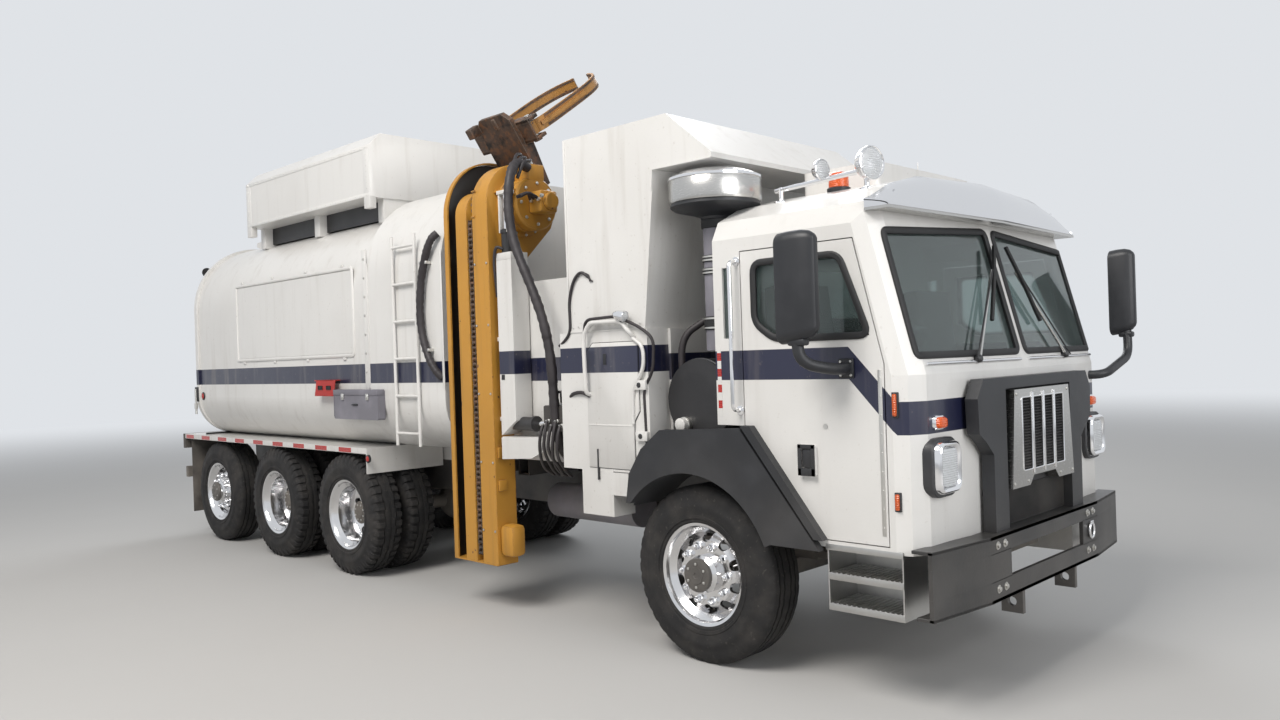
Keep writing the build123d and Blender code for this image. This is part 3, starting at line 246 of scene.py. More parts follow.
def round_profile(radius, sides):
    return [(radius * math.cos(2 * math.pi * k / sides), radius * math.sin(2 * math.pi * k / sides))
            for k in range(sides)]


def tube(piece, points, radius, bend=0.05, sides=12):
    """A bent round bar added to a piece."""
    return piece.loft(along(rounded(points, bend), round_profile(radius, sides)))


# %% [markdown]
# Seals and trims follow edges that the steel already has. This helper walks round the flat faces
# of a frame node that look one way and gives back their outlines as loops of points, so a seal
# sits on its window whatever size the window has.

# %% Outlines read from the frame
FACING = 0.94  # cosine between a face and the way it must look


def outlines(node, toward):
    """Loops of points round the faces of `node` that look `toward`."""
    toward = Vector(toward).normalized()
    mesh = frame["nodes"][node].data
    follow = {}
    for polygon in mesh.polygons:
        if polygon.normal.dot(toward) < FACING:
            continue
        corners = [tuple(round(c, 4) for c in mesh.vertices[i].co) for i in polygon.vertices]
        for a, b in zip(corners, corners[1:] + corners[:1]):
            if a in follow.get(b, ()):
                follow[b].remove(a)
            else:
                follow.setdefault(a, []).append(b)
    loops = []
    for start in list(follow):
        while follow.get(start):
            loop = [start]
            step = follow[start].pop()
            while step != start and follow.get(step):
                loop.append(step)
                step = follow[step].pop()
            loops.append([Vector(p) for p in loop])
    return sorted(loops, key=len, reverse=True)


for node in ("cab_glass", "door_glass_right"):
    print(node, [len(loop)
                 for loop in outlines(node, (1, 0, 0.2) if node == "cab_glass" else RIGHT)])

# %% [markdown]
# ## Finishes
# A finish here is a Principled shader fed by a few noise patterns in object coordinates. The
# frame's meshes keep their place in their vertices, so object coordinates are truck coordinates:
# a stripe can be drawn by height, and dust can gather low down. Paint, dirt and wear each get one
# small helper, and every finish is then a few lines.

# %% Wiring helpers
class Finish:
    """A Principled material being wired. Fixed values go straight on the shader's sockets."""

    def __init__(self, name, color, roughness, metallic=0.0, **sockets):
        self.material = bpy.data.materials.new(name)
        self.material.use_nodes = True
        self.tree = self.material.node_tree
        self.shader = self.tree.nodes["Principled BSDF"]
        self.color = (*color, 1.0)
        self.shader.inputs["Base Color"].default_value = self.color
        self.shader.inputs["Roughness"].default_value = roughness
        self.shader.inputs["Metallic"].default_value = metallic
        for socket, value in sockets.items():
            self.shader.inputs[socket.replace("_", " ")].default_value = value
        self.place = self.node("ShaderNodeTexCoord").outputs["Object"]
        self.height = None

    def node(self, kind, **settings):
        made = self.tree.nodes.new(kind)
        for key, value in settings.items():
            setattr(made, key, value)
        return made

    def wire(self, source, target):
        if isinstance(source, bpy.types.NodeSocket):
            self.tree.links.new(source, target)
        else:
            target.default_value = source

    def maths(self, operation, a, b):
        made = self.node("ShaderNodeMath", operation=operation)
        self.wire(a, made.inputs[0])
        self.wire(b, made.inputs[1])
        return made.outputs[0]

    def axis(self, name):
        made = self.node("ShaderNodeSeparateXYZ")
        self.wire(self.place, made.inputs[0])
        return made.outputs[name]

    def noise(self, scale, detail=4.0, stretch=(1, 1, 1), roughness=0.55):
        """Cloudy noise of `scale` patches to the metre, stretched along the axes."""
        mapping = self.node("ShaderNodeMapping")
        mapping.inputs["Scale"].default_value = stretch
        self.wire(self.place, mapping.inputs["Vector"])
        made = self.node("ShaderNodeTexNoise")
        made.inputs["Scale"].default_value = scale
        made.inputs["Detail"].default_value = detail
        made.inputs["Roughness"].default_value = roughness
        self.wire(mapping.outputs[0], made.inputs["Vector"])
        return made.outputs["Fac"]

    def fade(self, value, start, end):
        """0 where value is `start`, 1 where it is `end`, smooth between."""
        made = self.node("ShaderNodeMapRange", interpolation_type="SMOOTHSTEP")
        self.wire(value, made.inputs["Value"])
        made.inputs["From Min"].default_value = start
        made.inputs["From Max"].default_value = end
        return made.outputs["Result"]

    def patches(self, low, high, scale, detail, **noise):
        """Soft patches: noise spread between `low` and `high`."""
        return self.fade(self.noise(scale, detail, **noise), low, high)

    def band(self, value, low, high, soft=0.0015):
        """1 where value is between low and high."""
        above = self.fade(self.maths("SUBTRACT", value, low), -soft, soft)
        below = self.fade(self.maths("SUBTRACT", value, high), soft, -soft)
        return self.maths("MULTIPLY", above, below)

    def paint(self, mask, color, strength=None):
        """Lays a colour over what is there, where mask is 1, at its full strength or less."""
        if strength is not None:
            mask = self.maths("MULTIPLY", mask, strength)
        made = self.node("ShaderNodeMix", data_type="RGBA")
        self.wire(mask, made.inputs["Factor"])
        self.wire(self.color, made.inputs["A"])
        self.wire(color if isinstance(color, bpy.types.NodeSocket) else (*color, 1.0),
                  made.inputs["B"])
        self.color = made.outputs["Result"]
        self.tree.links.new(self.color, self.shader.inputs["Base Color"])

    def vary(self, socket, mask, low, high):
        """Runs a shader value from low to high with mask."""
        made = self.node("ShaderNodeMapRange")
        self.wire(mask, made.inputs["Value"])
        made.inputs["To Min"].default_value = low
        made.inputs["To Max"].default_value = high
        self.tree.links.new(made.outputs["Result"], self.shader.inputs[socket])

    def bump(self, height, depth):
        """Raises the surface by up to `depth` metres."""
        made = self.node("ShaderNodeBump")
        made.inputs["Strength"].default_value = 1.0
        made.inputs["Distance"].default_value = depth
        self.wire(height, made.inputs["Height"])
        if self.height:
            self.tree.links.new(self.height, made.inputs["Normal"])
        self.height = made.outputs["Normal"]
        self.tree.links.new(self.height, self.shader.inputs["Normal"])

    def corners(self, reach=0.012):
        """1 on sharp outer edges, from how far a rounded normal leans from the true one."""
        soft = self.node("ShaderNodeBevel", samples=4)
        soft.inputs["Radius"].default_value = reach
        true = self.node("ShaderNodeNewGeometry").outputs["Normal"]
        lean = self.node("ShaderNodeVectorMath", operation="DOT_PRODUCT")
        self.tree.links.new(soft.outputs[0], lean.inputs[0])
        self.tree.links.new(true, lean.inputs[1])
        return self.fade(lean.outputs["Value"], 0.995, 0.82)


def dusty(finish, top, amount, color=(0.30, 0.27, 0.235)):
    """Dust that thickens from `top` down to the wheels."""
    low = finish.fade(finish.axis("Z"), top, 0.35)
    finish.paint(finish.maths("MULTIPLY", low, finish.patches(0.15, 0.85, 2.4, 7)), color, amount)


print("wiring helpers ready")

# %% [markdown]
# ### White paint with a dark stripe
# The truck is sprayed white and a very dark navy stripe runs round it. On the cab the stripe drops
# down a diagonal at the door's front edge and goes on round the nose at a lower level. The stripe's
# lower edge is therefore a function of X, and the mask is the band above that edge. Rain draws the
# dust into faint upright runs, which is noise stretched along Z.

# %% White paint
WHITE = (0.70, 0.69, 0.67)
NAVY = (0.012, 0.014, 0.040)
STRIPE_DEPTH = 0.165
CAB_STRIPE_HIGH = 1.685
CAB_STRIPE_LOW = 1.405
STRIPE_DROP_START = 4.14
STRIPE_DROP_END = 4.40


def white_paint(name, stripe_low=None, drops=False, grime=1.0):
    """White paint; `stripe_low` is the height of the stripe's lower edge, if the part has one."""
    finish = Finish(name, WHITE, 0.32, Coat_Weight=0.35, Coat_Roughness=0.12,
                    Specular_IOR_Level=0.5)
    finish.paint(finish.patches(0.35, 0.70, 1.3, 5), (0.60, 0.585, 0.56), 0.35)
    if stripe_low is not None:
        low = stripe_low
        if drops:
            way = finish.node("ShaderNodeMapRange")
            finish.wire(finish.axis("X"), way.inputs["Value"])
            way.inputs["From Min"].default_value = STRIPE_DROP_START
            way.inputs["From Max"].default_value = STRIPE_DROP_END
            way.inputs["To Min"].default_value = stripe_low
            way.inputs["To Max"].default_value = CAB_STRIPE_LOW
            low = way.outputs["Result"]
        height = finish.maths("SUBTRACT", finish.axis("Z"), low)
        finish.paint(finish.band(height, 0.0, STRIPE_DEPTH), NAVY)
    runs = finish.patches(0.50, 0.78, 5.0, 5, stretch=(2.2, 2.2, 0.18))
    finish.paint(runs, (0.36, 0.32, 0.27), 0.22 * grime)
    specks = finish.patches(0.66, 0.74, 38.0, 3)
    finish.paint(specks, (0.30, 0.25, 0.20), 0.25 * grime)
    dusty(finish, 1.5, 0.55 * grime)
    finish.vary("Roughness", finish.noise(6.0, 4), 0.24, 0.46)
    finish.bump(finish.noise(60.0, 2), 0.0004)
    return finish.material


cab_white = white_paint("cab_white", CAB_STRIPE_HIGH, drops=True, grime=0.5)
body_white = white_paint("body_white", CAB_STRIPE_HIGH)
lift_white = white_paint("lift_white", 1.74)
plain_white = white_paint("plain_white")
print("white paint:", WHITE, "stripe depth", STRIPE_DEPTH)

# %% [markdown]
# ### Worn yellow paint
# The lift's column is sound yellow paint that has darkened in streaks. Only its edges are rubbed to
# brown steel, with a few chips. Inside, where the carriage and the chain run, it has a finish of
# its own: a dark film of grease with the old paint showing through in places, over a much darker
# yellow that is painted shade of the recessed channel and groove.

# %% Worn yellow paint
YELLOW = (0.50, 0.245, 0.036)
RUST = (0.115, 0.055, 0.028)
GREASE = (0.020, 0.016, 0.014)


def worn_yellow(name, color=YELLOW, wear=1.0, film=None):
    """Yellow paint; `film` is the share of it that black grease covers."""
    finish = Finish(name, color, 0.42, Specular_IOR_Level=0.45)
    finish.paint(finish.patches(0.35, 0.75, 1.6, 6), tuple(c * 0.74 for c in color), 0.40)
    runs = finish.patches(0.50, 0.80, 5.0, 6, stretch=(3.0, 3.0, 0.10))
    finish.paint(runs, (0.12, 0.070, 0.025), 0.42 * wear)
    finish.paint(finish.patches(0.735 - 0.035 * wear, 0.755 - 0.035 * wear, 20.0, 6), RUST)
    rubbed = finish.maths("MULTIPLY", finish.corners(0.009), finish.patches(0.36, 0.56, 14.0, 5))
    finish.paint(rubbed, RUST, 0.85)
    if film:
        grease = finish.patches(0.72 - 0.5 * film, 0.86 - 0.5 * film, 6.0, 6, stretch=(1, 1, 0.3))
        finish.paint(grease, GREASE)
    finish.vary("Roughness", finish.noise(9.0, 4), 0.32, 0.60)
    finish.bump(finish.noise(45.0, 4), 0.0005)
    return finish.material


def rusty_steel(name, base=(0.085, 0.055, 0.040)):
    """Bare steel of the gripper's carriage: brown rust, black grease, a few bright rubs."""
    finish = Finish(name, base, 0.62, metallic=0.25)
    finish.paint(finish.patches(0.44, 0.66, 20.0, 7), (0.17, 0.080, 0.040))
    finish.paint(finish.patches(0.50, 0.66, 9.0, 6), GREASE)
    finish.paint(finish.corners(), (0.33, 0.27, 0.22), 0.45)
    finish.vary("Roughness", finish.noise(12.0, 5), 0.42, 0.80)
    finish.bump(finish.noise(70.0, 5), 0.0010)
    return finish.material


# painted shade: the much darker yellow given here stands in for the shade inside the channel and
# the chain groove; the grease film on it is real
grease_and_shade_yellow = worn_yellow("grease_and_shade_yellow", (0.20, 0.105, 0.035), wear=1.5, film=0.9)
lift_yellow = worn_yellow("lift_yellow")
band_orange = worn_yellow("band_orange", (0.44, 0.215, 0.055), wear=1.7)
gripper_steel = rusty_steel("gripper_steel")
print("yellow", YELLOW, "rust", RUST)

# %% [markdown]
# ### Metals, rubber, plastic and glass
# The rest of the finishes are quick: each has the right base colour and metalness, a cloudy
# roughness so that highlights break up, and dust where the part is near the ground.

# %% Metals
def metal(name, color, roughness, spread, brushed=(1, 1, 1), dust=0.0):
    """Bare metal, its roughness spread by noise, which `brushed` stretches."""
    finish = Finish(name, color, roughness, metallic=1.0)
    grain = finish.noise(30.0, 4, stretch=brushed)
    finish.vary("Roughness", grain, max(roughness - spread, 0.02), roughness + spread)
    if dust:
        dusty(finish, 1.6, dust)
    return finish.material


chrome = metal("chrome", (0.86, 0.86, 0.87), 0.07, 0.04)
polished = metal("polished_alloy", (0.80, 0.80, 0.81), 0.17, 0.07, dust=0.22)
stainless = metal("stainless", (0.56, 0.55, 0.53), 0.25, 0.08, brushed=(1, 1, 14))
tread_alloy = metal("tread_alloy", (0.55, 0.55, 0.54), 0.38, 0.12, dust=0.6)
zinc = metal("zinc", (0.62, 0.61, 0.58), 0.38, 0.12, dust=0.3)
mirror_face = metal("mirror_face", (0.80, 0.82, 0.84), 0.03, 0.01)


def coated(name, color, low, high, dust=0.0, grain=60.0, depth=0.0005):
    """Plastic, rubber or plain painted steel."""
    finish = Finish(name, color, (low + high) / 2)
    pale = [min(c * 1.7 + 0.012, 1.0) for c in color]
    finish.paint(finish.patches(0.40, 0.75, 4.0, 6), pale, 0.5)
    if dust:
        dusty(finish, 1.7, dust)
    finish.vary("Roughness", finish.noise(8.0, 4), low, high)
    finish.bump(finish.noise(grain, 3), depth)
    return finish.material


black_steel = coated("black_steel", (0.020, 0.020, 0.022), 0.32, 0.55, dust=0.45)
bumper_black = coated("bumper_black", (0.021, 0.021, 0.022), 0.30, 0.44, dust=0.18)
black_plastic = coated("black_plastic", (0.015, 0.016, 0.019), 0.34, 0.52, dust=0.16, grain=300.0)
seal_rubber = coated("seal_rubber", (0.010, 0.010, 0.011), 0.5, 0.75)
hose_rubber = coated("hose_rubber", (0.022, 0.018, 0.020), 0.42, 0.7, dust=0.3)
cast_iron = coated("cast_iron", (0.035, 0.032, 0.030), 0.55, 0.85, dust=0.9, depth=0.0012)
grey_trim = coated("grey_trim", (0.10, 0.10, 0.105), 0.6, 0.8, grain=500.0)
box_grey = coated("box_grey", (0.17, 0.165, 0.19), 0.45, 0.7, dust=0.4)
chock_red = coated("chock_red", (0.40, 0.025, 0.020), 0.4, 0.6, dust=0.4)
flap_rubber = coated("flap_rubber", (0.014, 0.013, 0.014), 0.6, 0.85, dust=0.9)
print("metals and coatings ready")

# %% [markdown]
# A tyre is not black but a dusty charcoal with paler scuffs. Noise alone paints it, so one finish
# serves every wheel, wherever it stands.

# %% Tyre rubber
def tyre_rubber():
    finish = Finish("tyre_rubber", (0.017, 0.0165, 0.017), 0.72, Specular_IOR_Level=0.35)
    finish.paint(finish.patches(0.38, 0.72, 7.0, 6), (0.052, 0.047, 0.043), 0.55)
    finish.paint(finish.patches(0.60, 0.72, 40.0, 4), (0.10, 0.09, 0.08), 0.35)
    finish.vary("Roughness", finish.noise(10.0, 4), 0.62, 0.9)
    finish.bump(finish.noise(220.0, 3), 0.0006)
    return finish.material


rubber = tyre_rubber()
print("tyre rubber ready")

# %% Glass and lenses
def glass(name, color, clearness, roughness=0.02):
    """Tinted glazing, see-through by its clearness and glossy for the rest."""
    finish = Finish(name, color, roughness, Transmission_Weight=clearness, IOR=1.45)
    finish.vary("Roughness", finish.noise(5.0, 4), roughness, roughness + 0.04)
    return finish.material


def lens(name, color, glow=0.0):
    """A moulded lens: clear coloured plastic over fine ribs."""
    finish = Finish(name, color, 0.12, Transmission_Weight=0.35, IOR=1.49, Coat_Weight=0.5)
    ribs = finish.node("ShaderNodeTexWave", wave_type="BANDS", bands_direction="Z")
    ribs.inputs["Scale"].default_value = 28.0
    finish.wire(finish.place, ribs.inputs["Vector"])
    finish.bump(ribs.outputs["Fac"], 0.002)
    if glow:
        finish.shader.inputs["Emission Color"].default_value = (*color, 1.0)
        finish.shader.inputs["Emission Strength"].default_value = glow
    return finish.material


cab_glazing = glass("cab_glazing", (0.42, 0.50, 0.49), 0.93)
clear_lens = lens("clear_lens", (0.80, 0.82, 0.84))
amber_lens = lens("amber_lens", (0.70, 0.11, 0.012), glow=0.18)
red_lens = lens("red_lens", (0.50, 0.020, 0.012), glow=0.15)
print("glass and lenses ready")

# %% [markdown]
# ## Camera, floor and light
# The camera stands as in the photograph: at head height, ahead of the truck on its right-hand side,
# looking back along it. The focal length was worked out from the width such trucks usually have.
# Big soft lamps keep the shading plain, and the pale surroundings are seen by the camera, by gloss
# and by glass, but hardly light the truck.

# %% Camera
FOCAL_PIXELS = 979.6
IMAGE_PIXELS = 1280
SENSOR = 36.0
EYE = Vector((6.876, -5.534, 1.835))
YAW, PITCH, ROLL = (math.radians(a) for a in (44.39, -0.20, -1.90))

look = Vector((-math.sin(YAW) * math.cos(PITCH), math.cos(YAW) * math.cos(PITCH), math.sin(PITCH)))
right = Vector((math.cos(YAW), math.sin(YAW), 0))
over = right.cross(look)
right_r = right * math.cos(ROLL) + over * math.sin(ROLL)
over_r = -right * math.sin(ROLL) + over * math.cos(ROLL)
camera = bpy.data.objects.new("camera", bpy.data.cameras.new("camera"))
camera.data.sensor_width = SENSOR
camera.data.lens = FOCAL_PIXELS / IMAGE_PIXELS * SENSOR
camera.matrix_world = Matrix.Translation(EYE) @ Matrix((right_r, over_r,
                                                        -look)).transposed().to_4x4()
bpy.context.scene.collection.objects.link(camera)
bpy.context.scene.camera = camera
print("lens", round(camera.data.lens, 2), "mm")

# %% Floor, world and lamps
SKY = (0.93, 0.96, 1.0)
BACKDROP = 0.80
SURROUND = 0.36
FLOOR_HALF = 60.0
floor_mesh = bpy.data.meshes.new("floor")
floor_mesh.from_pydata([(sx * FLOOR_HALF, sy * FLOOR_HALF, 0)
                        for sx, sy in ((-1, -1), (1, -1), (1, 1), (-1, 1))], [], [(0, 1, 2, 3)])
floor = bpy.data.objects.new("floor", floor_mesh)
bpy.context.scene.collection.objects.link(floor)
floor_finish = Finish("floor", (0.50, 0.495, 0.485), 0.85)
floor_finish.paint(floor_finish.noise(0.8, 5), (0.43, 0.42, 0.41), 0.25)
reach = floor_finish.node("ShaderNodeVectorMath", operation="LENGTH")
floor_finish.wire(floor_finish.place, reach.inputs[0])
far = floor_finish.fade(reach.outputs["Value"], 7.0, 34.0)
floor_finish.paint(far, (0.0, 0.0, 0.0))
floor_finish.shader.inputs["Emission Color"].default_value = (*SKY, 1.0)
floor_finish.vary("Emission Strength", far, 0.0, BACKDROP)
floor_finish.vary("Specular IOR Level", far, 0.5, 0.0)
floor_mesh.materials.append(floor_finish.material)

world = bpy.data.worlds.new("world")
bpy.context.scene.world = world
world.use_nodes = True
sky = world.node_tree.nodes["Background"]
sky.inputs["Color"].default_value = (*SKY, 1.0)
path = world.node_tree.nodes.new("ShaderNodeLightPath")
seen = path.outputs["Is Camera Ray"]
for rays in ("Is Transmission Ray", "Is Glossy Ray"):
    either = world.node_tree.nodes.new("ShaderNodeMath")
    either.operation = "MAXIMUM"
    world.node_tree.links.new(seen, either.inputs[0])
    world.node_tree.links.new(path.outputs[rays], either.inputs[1])
    seen = either.outputs[0]
level = world.node_tree.nodes.new("ShaderNodeMapRange")
level.inputs["To Min"].default_value = SURROUND
level.inputs["To Max"].default_value = BACKDROP
world.node_tree.links.new(seen, level.inputs["Value"])
world.node_tree.links.new(level.outputs["Result"], sky.inputs["Strength"])


def lamp(name, place, target, size, power, color=(1, 1, 1)):
    """A square soft lamp that faces a point."""
    data = bpy.data.lights.new(name, "AREA")
    data.size = size
    data.energy = power
    data.color = color
    made = bpy.data.objects.new(name, data)
    made.location = place
    made.rotation_euler = (Vector(target) - Vector(place)).to_track_quat("-Z", "Y").to_euler()
    bpy.context.scene.collection.objects.link(made)


TRUCK_MIDDLE = (0, 0, 1.6)
lamp("key", (3.0, -9.0, 11.0), TRUCK_MIDDLE, 6.0, 1500, (1.0, 0.965, 0.92))
lamp("front", (13.0, -3.0, 5.0), TRUCK_MIDDLE, 6.0, 520)
lamp("back", (-6.0, 9.0, 9.0), TRUCK_MIDDLE, 7.0, 620, (0.94, 0.97, 1.0))
bpy.context.scene.view_settings.view_transform = "Standard"
print("stage ready")

# %% [markdown]
# ## The frame's own nodes
# Wherever the steel's shape is already right, it stays and only gets its finish. One table names a
# finish for each node, and names that end in a side share one entry.

# %% Finishes for the frame's nodes
NODE_FINISH = {"air_cleaner": stainless, "body_drum": body_white, "bumper": bumper_black,
               "cab_glass": cab_glazing, "cab_interior": grey_trim, "cab_shell": cab_white,
               "cab_steps": tread_alloy, "cooling_unit": black_steel, "door_glass": cab_glazing,
               "door": cab_white, "engine": cast_iron, "frame_rails": black_steel,
               "front_axle": cast_iron, "front_fenders": black_plastic, "gas_pod": plain_white,
               "grille": stainless, "grille_guard": black_plastic, "gripper": band_orange,
               "hopper_hood": plain_white, "hopper_tub": body_white, "knuckle": cast_iron,
               "ladder": plain_white, "lamps": clear_lens, "lift_carriage": gripper_steel,
               "lift_drive": lift_yellow, "lift_guide": lift_white, "lift_mast": lift_yellow,
               "lift_sprocket": gripper_steel, "lift_subframe": black_steel,
               "mirror": black_plastic, "rear_axles": cast_iron, "rear_deck": plain_white,
               "rim": polished, "roof_box": plain_white, "side_boxes": box_grey,
               "side_cabinet": lift_white, "tail": flap_rubber, "tailgate": body_white,
               "tow_eyes": black_steel, "tyre": rubber, "windshield_trim": stainless, }
for node, thing in frame["nodes"].items():
    name = node
    while name not in NODE_FINISH:
        name = name.rsplit("_", 1)[0]
    thing.data.materials.clear()
    thing.data.materials.append(NODE_FINISH[name])
print(len(frame["nodes"]), "nodes finished")

# %% [markdown]
# ## Tyres
# A tyre is one cross-section swept round the axle, but its tread changes on the way. So the section
# is a function of where on the tread it is cut: the front and rearmost tyres have four zigzag
# grooves and notched shoulders, the driven ones have shoulder lugs with deep gaps between them.
# Joining the last section to the first closes the ring, and the frame's plain tyre is replaced.

# %% Tyres
TYRE_RADIUS = 0.530
BEAD_RADIUS = 0.2925
WHEELS = (
    # name, station, outer tyre's middle, tyre width, twin tyres
    ("front", 3.04, 1.020, 0.310, False),
    ("drive_1", -1.04, 1.085, 0.280, True),
    ("drive_2", -2.40, 1.085, 0.280, True),
    ("tag", -3.82, 1.040, 0.310, False),
)
TWIN_SPACING = 0.330
SIDEWALL = (
    # in from the sidewall's widest point, radius
    (0.040, BEAD_RADIUS), (0.022, 0.304), (0.011, 0.316), (0.010, 0.330), (0.002, 0.334),
    (0.000, 0.350), (0.004, 0.353), (0.001, 0.385), (-0.002, 0.400), (-0.002, 0.424),
    (0.001, 0.428), (0.006, 0.460),
)


def rib_section(half, step):
    """Half a ribbed tread from the shoulder to the middle, as (offset, radius)."""
    notch = 0.006 if step % 4 == 3 else 0.0
    shift = 0.0022 if step % 4 < 2 else -0.0022
    points = [(half - 0.013, 0.487), (half - 0.022 - notch, 0.506),
              (half - 0.029 - notch, 0.517 - notch), (half - 0.040, TYRE_RADIUS - 0.004 - notch),
              (half - 0.048, TYRE_RADIUS - 0.001)]
    for groove in (0.073, 0.030):
        out = groove + shift
        points += [(out + 0.007, TYRE_RADIUS), (out + 0.005, TYRE_RADIUS - 0.013),
                   (out - 0.005, TYRE_RADIUS - 0.013), (out - 0.007, TYRE_RADIUS)]
    return points


def lug_section(half, step):
    """Half a driving tread, cut through a lug or through the gap beside it."""
    deep = 0.017 if step % 4 > 1 else 0.0
    shift = 0.004 if step % 8 < 4 else -0.004
    points = [(half - 0.010 - deep * 0.2, 0.478), (half - 0.016 - deep * 0.5, 0.500),
              (half - 0.022 - deep * 0.5, 0.516 - deep * 0.7),
              (half - 0.034, TYRE_RADIUS - 0.003 - deep)]
    points += [(0.058 + shift, TYRE_RADIUS - deep), (0.056 + shift, TYRE_RADIUS - 0.016),
               (0.047 + shift, TYRE_RADIUS - 0.016), (0.045 + shift, TYRE_RADIUS),
               (0.012 + shift / 2, TYRE_RADIUS), (0.010 + shift / 2, TYRE_RADIUS - 0.009)]
    return points


SIDES = (("right", -1), ("left", 1))


def add_tyre(piece, x, y, width, tread, steps):
    half = width / 2
    rings = []
    for k in range(steps):
        share = k / steps
        if tread is lug_section:
            share = (k // 4 * 4 + (0.0, 2.15, 2.35, 3.8)[k % 4]) / steps
        side = [(half - inward, r) for inward, r in SIDEWALL] + tread(half, k)
        section = [(-out, r) for out, r in side] + side[::-1]
        section += [(half - 0.060, BEAD_RADIUS + 0.01), (0.060 - half, BEAD_RADIUS + 0.01)]
        c, s = math.cos(2 * math.pi * share), math.sin(2 * math.pi * share)
        rings.append([(x + r * c, y + out, TYRE_RADIUS + r * s) for out, r in section])
    piece.loft(rings, caps=False, around=True)


for name, x, middle, width, twin in WHEELS:
    for side, sign in SIDES:
        piece = Piece(f"tread_{name}_{side}", f"wheel_{name}_{side}").use(rubber)
        if twin:
            add_tyre(piece, x, sign * middle, width, lug_section, 176)
            add_tyre(piece, x, sign * (middle - TWIN_SPACING), width, lug_section, 176)
        else:
            add_tyre(piece, x, sign * middle, width, rib_section, 160)
        piece.done("tyre", [f"tyre_{name}_{side}"])

# %% [markdown]
# ## Wheel nuts, hubs and valves
# The alloy discs come from the frame. A nut is a six-sided turned part on a round flange with a
# rounded chrome cap, ten to a wheel. The front and rearmost hubs carry a dark cap held by small
# bolts; the driven hubs end in a cast flange with eight bolts, as the half-shaft bolts on there.

# %% Nuts and hubs
NUT_CIRCLE = 0.1675
NUTS = 10
STUD_CIRCLE = 0.069
TWIN_DISC, SINGLE_DISC = -0.143, 0.088
TWIN_HUB, SINGLE_HUB = -0.005, 0.183


def add_nuts(piece, x, face, sign):
    """Ten capped nuts that stand out from a disc whose face is at Y = face."""
    for k in range(NUTS):
        t = 2 * math.pi * k / NUTS
        at = (x + NUT_CIRCLE * math.cos(t), face, TYRE_RADIUS + NUT_CIRCLE * math.sin(t))
        piece.bolt(at, (0, sign, 0), 0.026, 0.006, 0.022, 0.008, 16)
        piece.turned(at, (0, sign, 0), [(0.006, 0.0205), (0.034, 0.0205), (0.036, 0.018)], 6)
        piece.turned(at, (0, sign, 0), [(0.030, 0.0165), (0.042, 0.0160), (0.050, 0.011),
                                        (0.053, 0.002)], 12)


for name, x, middle, width, twin in WHEELS:
    for side, sign in SIDES:
        out = (0, sign, 0)
        face = sign * (middle + (TWIN_DISC if twin else SINGLE_DISC))
        piece = Piece(f"nuts_{name}_{side}", f"wheel_{name}_{side}").use(chrome)
        add_nuts(piece, x, face, sign)
        valve = (x + 0.235, face - sign * 0.02, TYRE_RADIUS + 0.075)
        piece.rod(valve, (valve[0] + 0.012, face + sign * 0.045, valve[2] + 0.004), 0.0045, 8)
        hub_end = sign * (middle + (TWIN_HUB if twin else SINGLE_HUB))
        studs = 8 if twin else 6
        piece.use(cast_iron if twin else black_steel)
        piece.turned((x, hub_end, TYRE_RADIUS), out,
                     [(-0.030, 0.100), (-0.012, 0.101), (-0.004, 0.097), (0.0005, 0.086),
                      (0.0005, 0.052), (0.004, 0.050), (0.004, 0.018), (0.0010, 0.016),
                      (0.0010, 0.0)], 40)
        piece.use(zinc)
        for k in range(studs):
            t = 2 * math.pi * (k + 0.5) / studs
            at = (x + STUD_CIRCLE * math.cos(t), hub_end, TYRE_RADIUS + STUD_CIRCLE * math.sin(t))
            piece.turned(at, out, [(-0.002, 0.009), (0.005, 0.009), (0.007, 0.006)], 6)
        piece.done("chrome")

# %% [markdown]
# ## Window seals
# Each pane sits in a black rubber gasket. The outline comes from the glass itself, its corners are
# rounded, and one small profile is carried round it. The door's gasket rides on the door, and a
# chrome strip runs under the windshield.

# %% Window seals
SEAL = [(-0.017, -0.012), (0.017, -0.012), (0.019, 0.004), (0.010, 0.011), (-0.010, 0.011),
        (-0.019, 0.004)]


def soft_loop(points, bend):
    """A closed outline with rounded corners."""
    points = [Vector(p) for p in points]
    start = (points[-1] + points[0]) / 2
    return rounded([start, *points, start], bend, 5)[:-1]


def pane_loop(node, toward):
    """The largest outline of a pane, without points that lie along a straight edge."""
    loop = outlines(node, toward)[0]
    corners = []
    for before, point, after in zip(loop[-1:] + loop[:-1], loop, loop[1:] + loop[:1]):
        if (point - before).angle(after - point, 0) > 0.08:
            corners.append(point)
    return corners


def seal_round(piece, loop, facing, lift, bend=0.045):
    """A gasket round a pane, `lift` outwards of its face."""
    facing = Vector(facing).normalized()
    path = soft_loop([p + facing * lift for p in loop], bend)
    piece.hoop(path, SEAL, facing)


piece = Piece("windshield_seals", "chassis").use(seal_rubber)
for sign in (-1, 1):
    seal_round(piece, pane_loop("cab_glass", (1, sign * 0.12, 0.28)), (1, sign * 0.06, 0.26), 0.014)
piece.use(chrome)
for sign in (-1, 1):
    tube(piece, [(4.500, sign * 1.085, 1.752), (4.533, sign * 0.055, 1.752)], 0.009, sides=10)
piece.done("black_plastic")

for side, sign in SIDES:
    piece = Piece(f"door_seals_{side}", f"door_{side}").use(seal_rubber)
    seal_round(piece, pane_loop(f"door_glass_{side}", (0, sign, 0)), (0, sign, 0), 0.026, 0.06)
    piece.done("black_plastic")

# %% [markdown]
# ## The door's fittings
# A door carries a black paddle handle in its raised pocket, a bright strip down the hinge edge and
# a black rubber flare along the wheel cut. A chrome grab tube stands on the cab behind it, beside
# a red and white marker strip. Each loop below makes both sides.

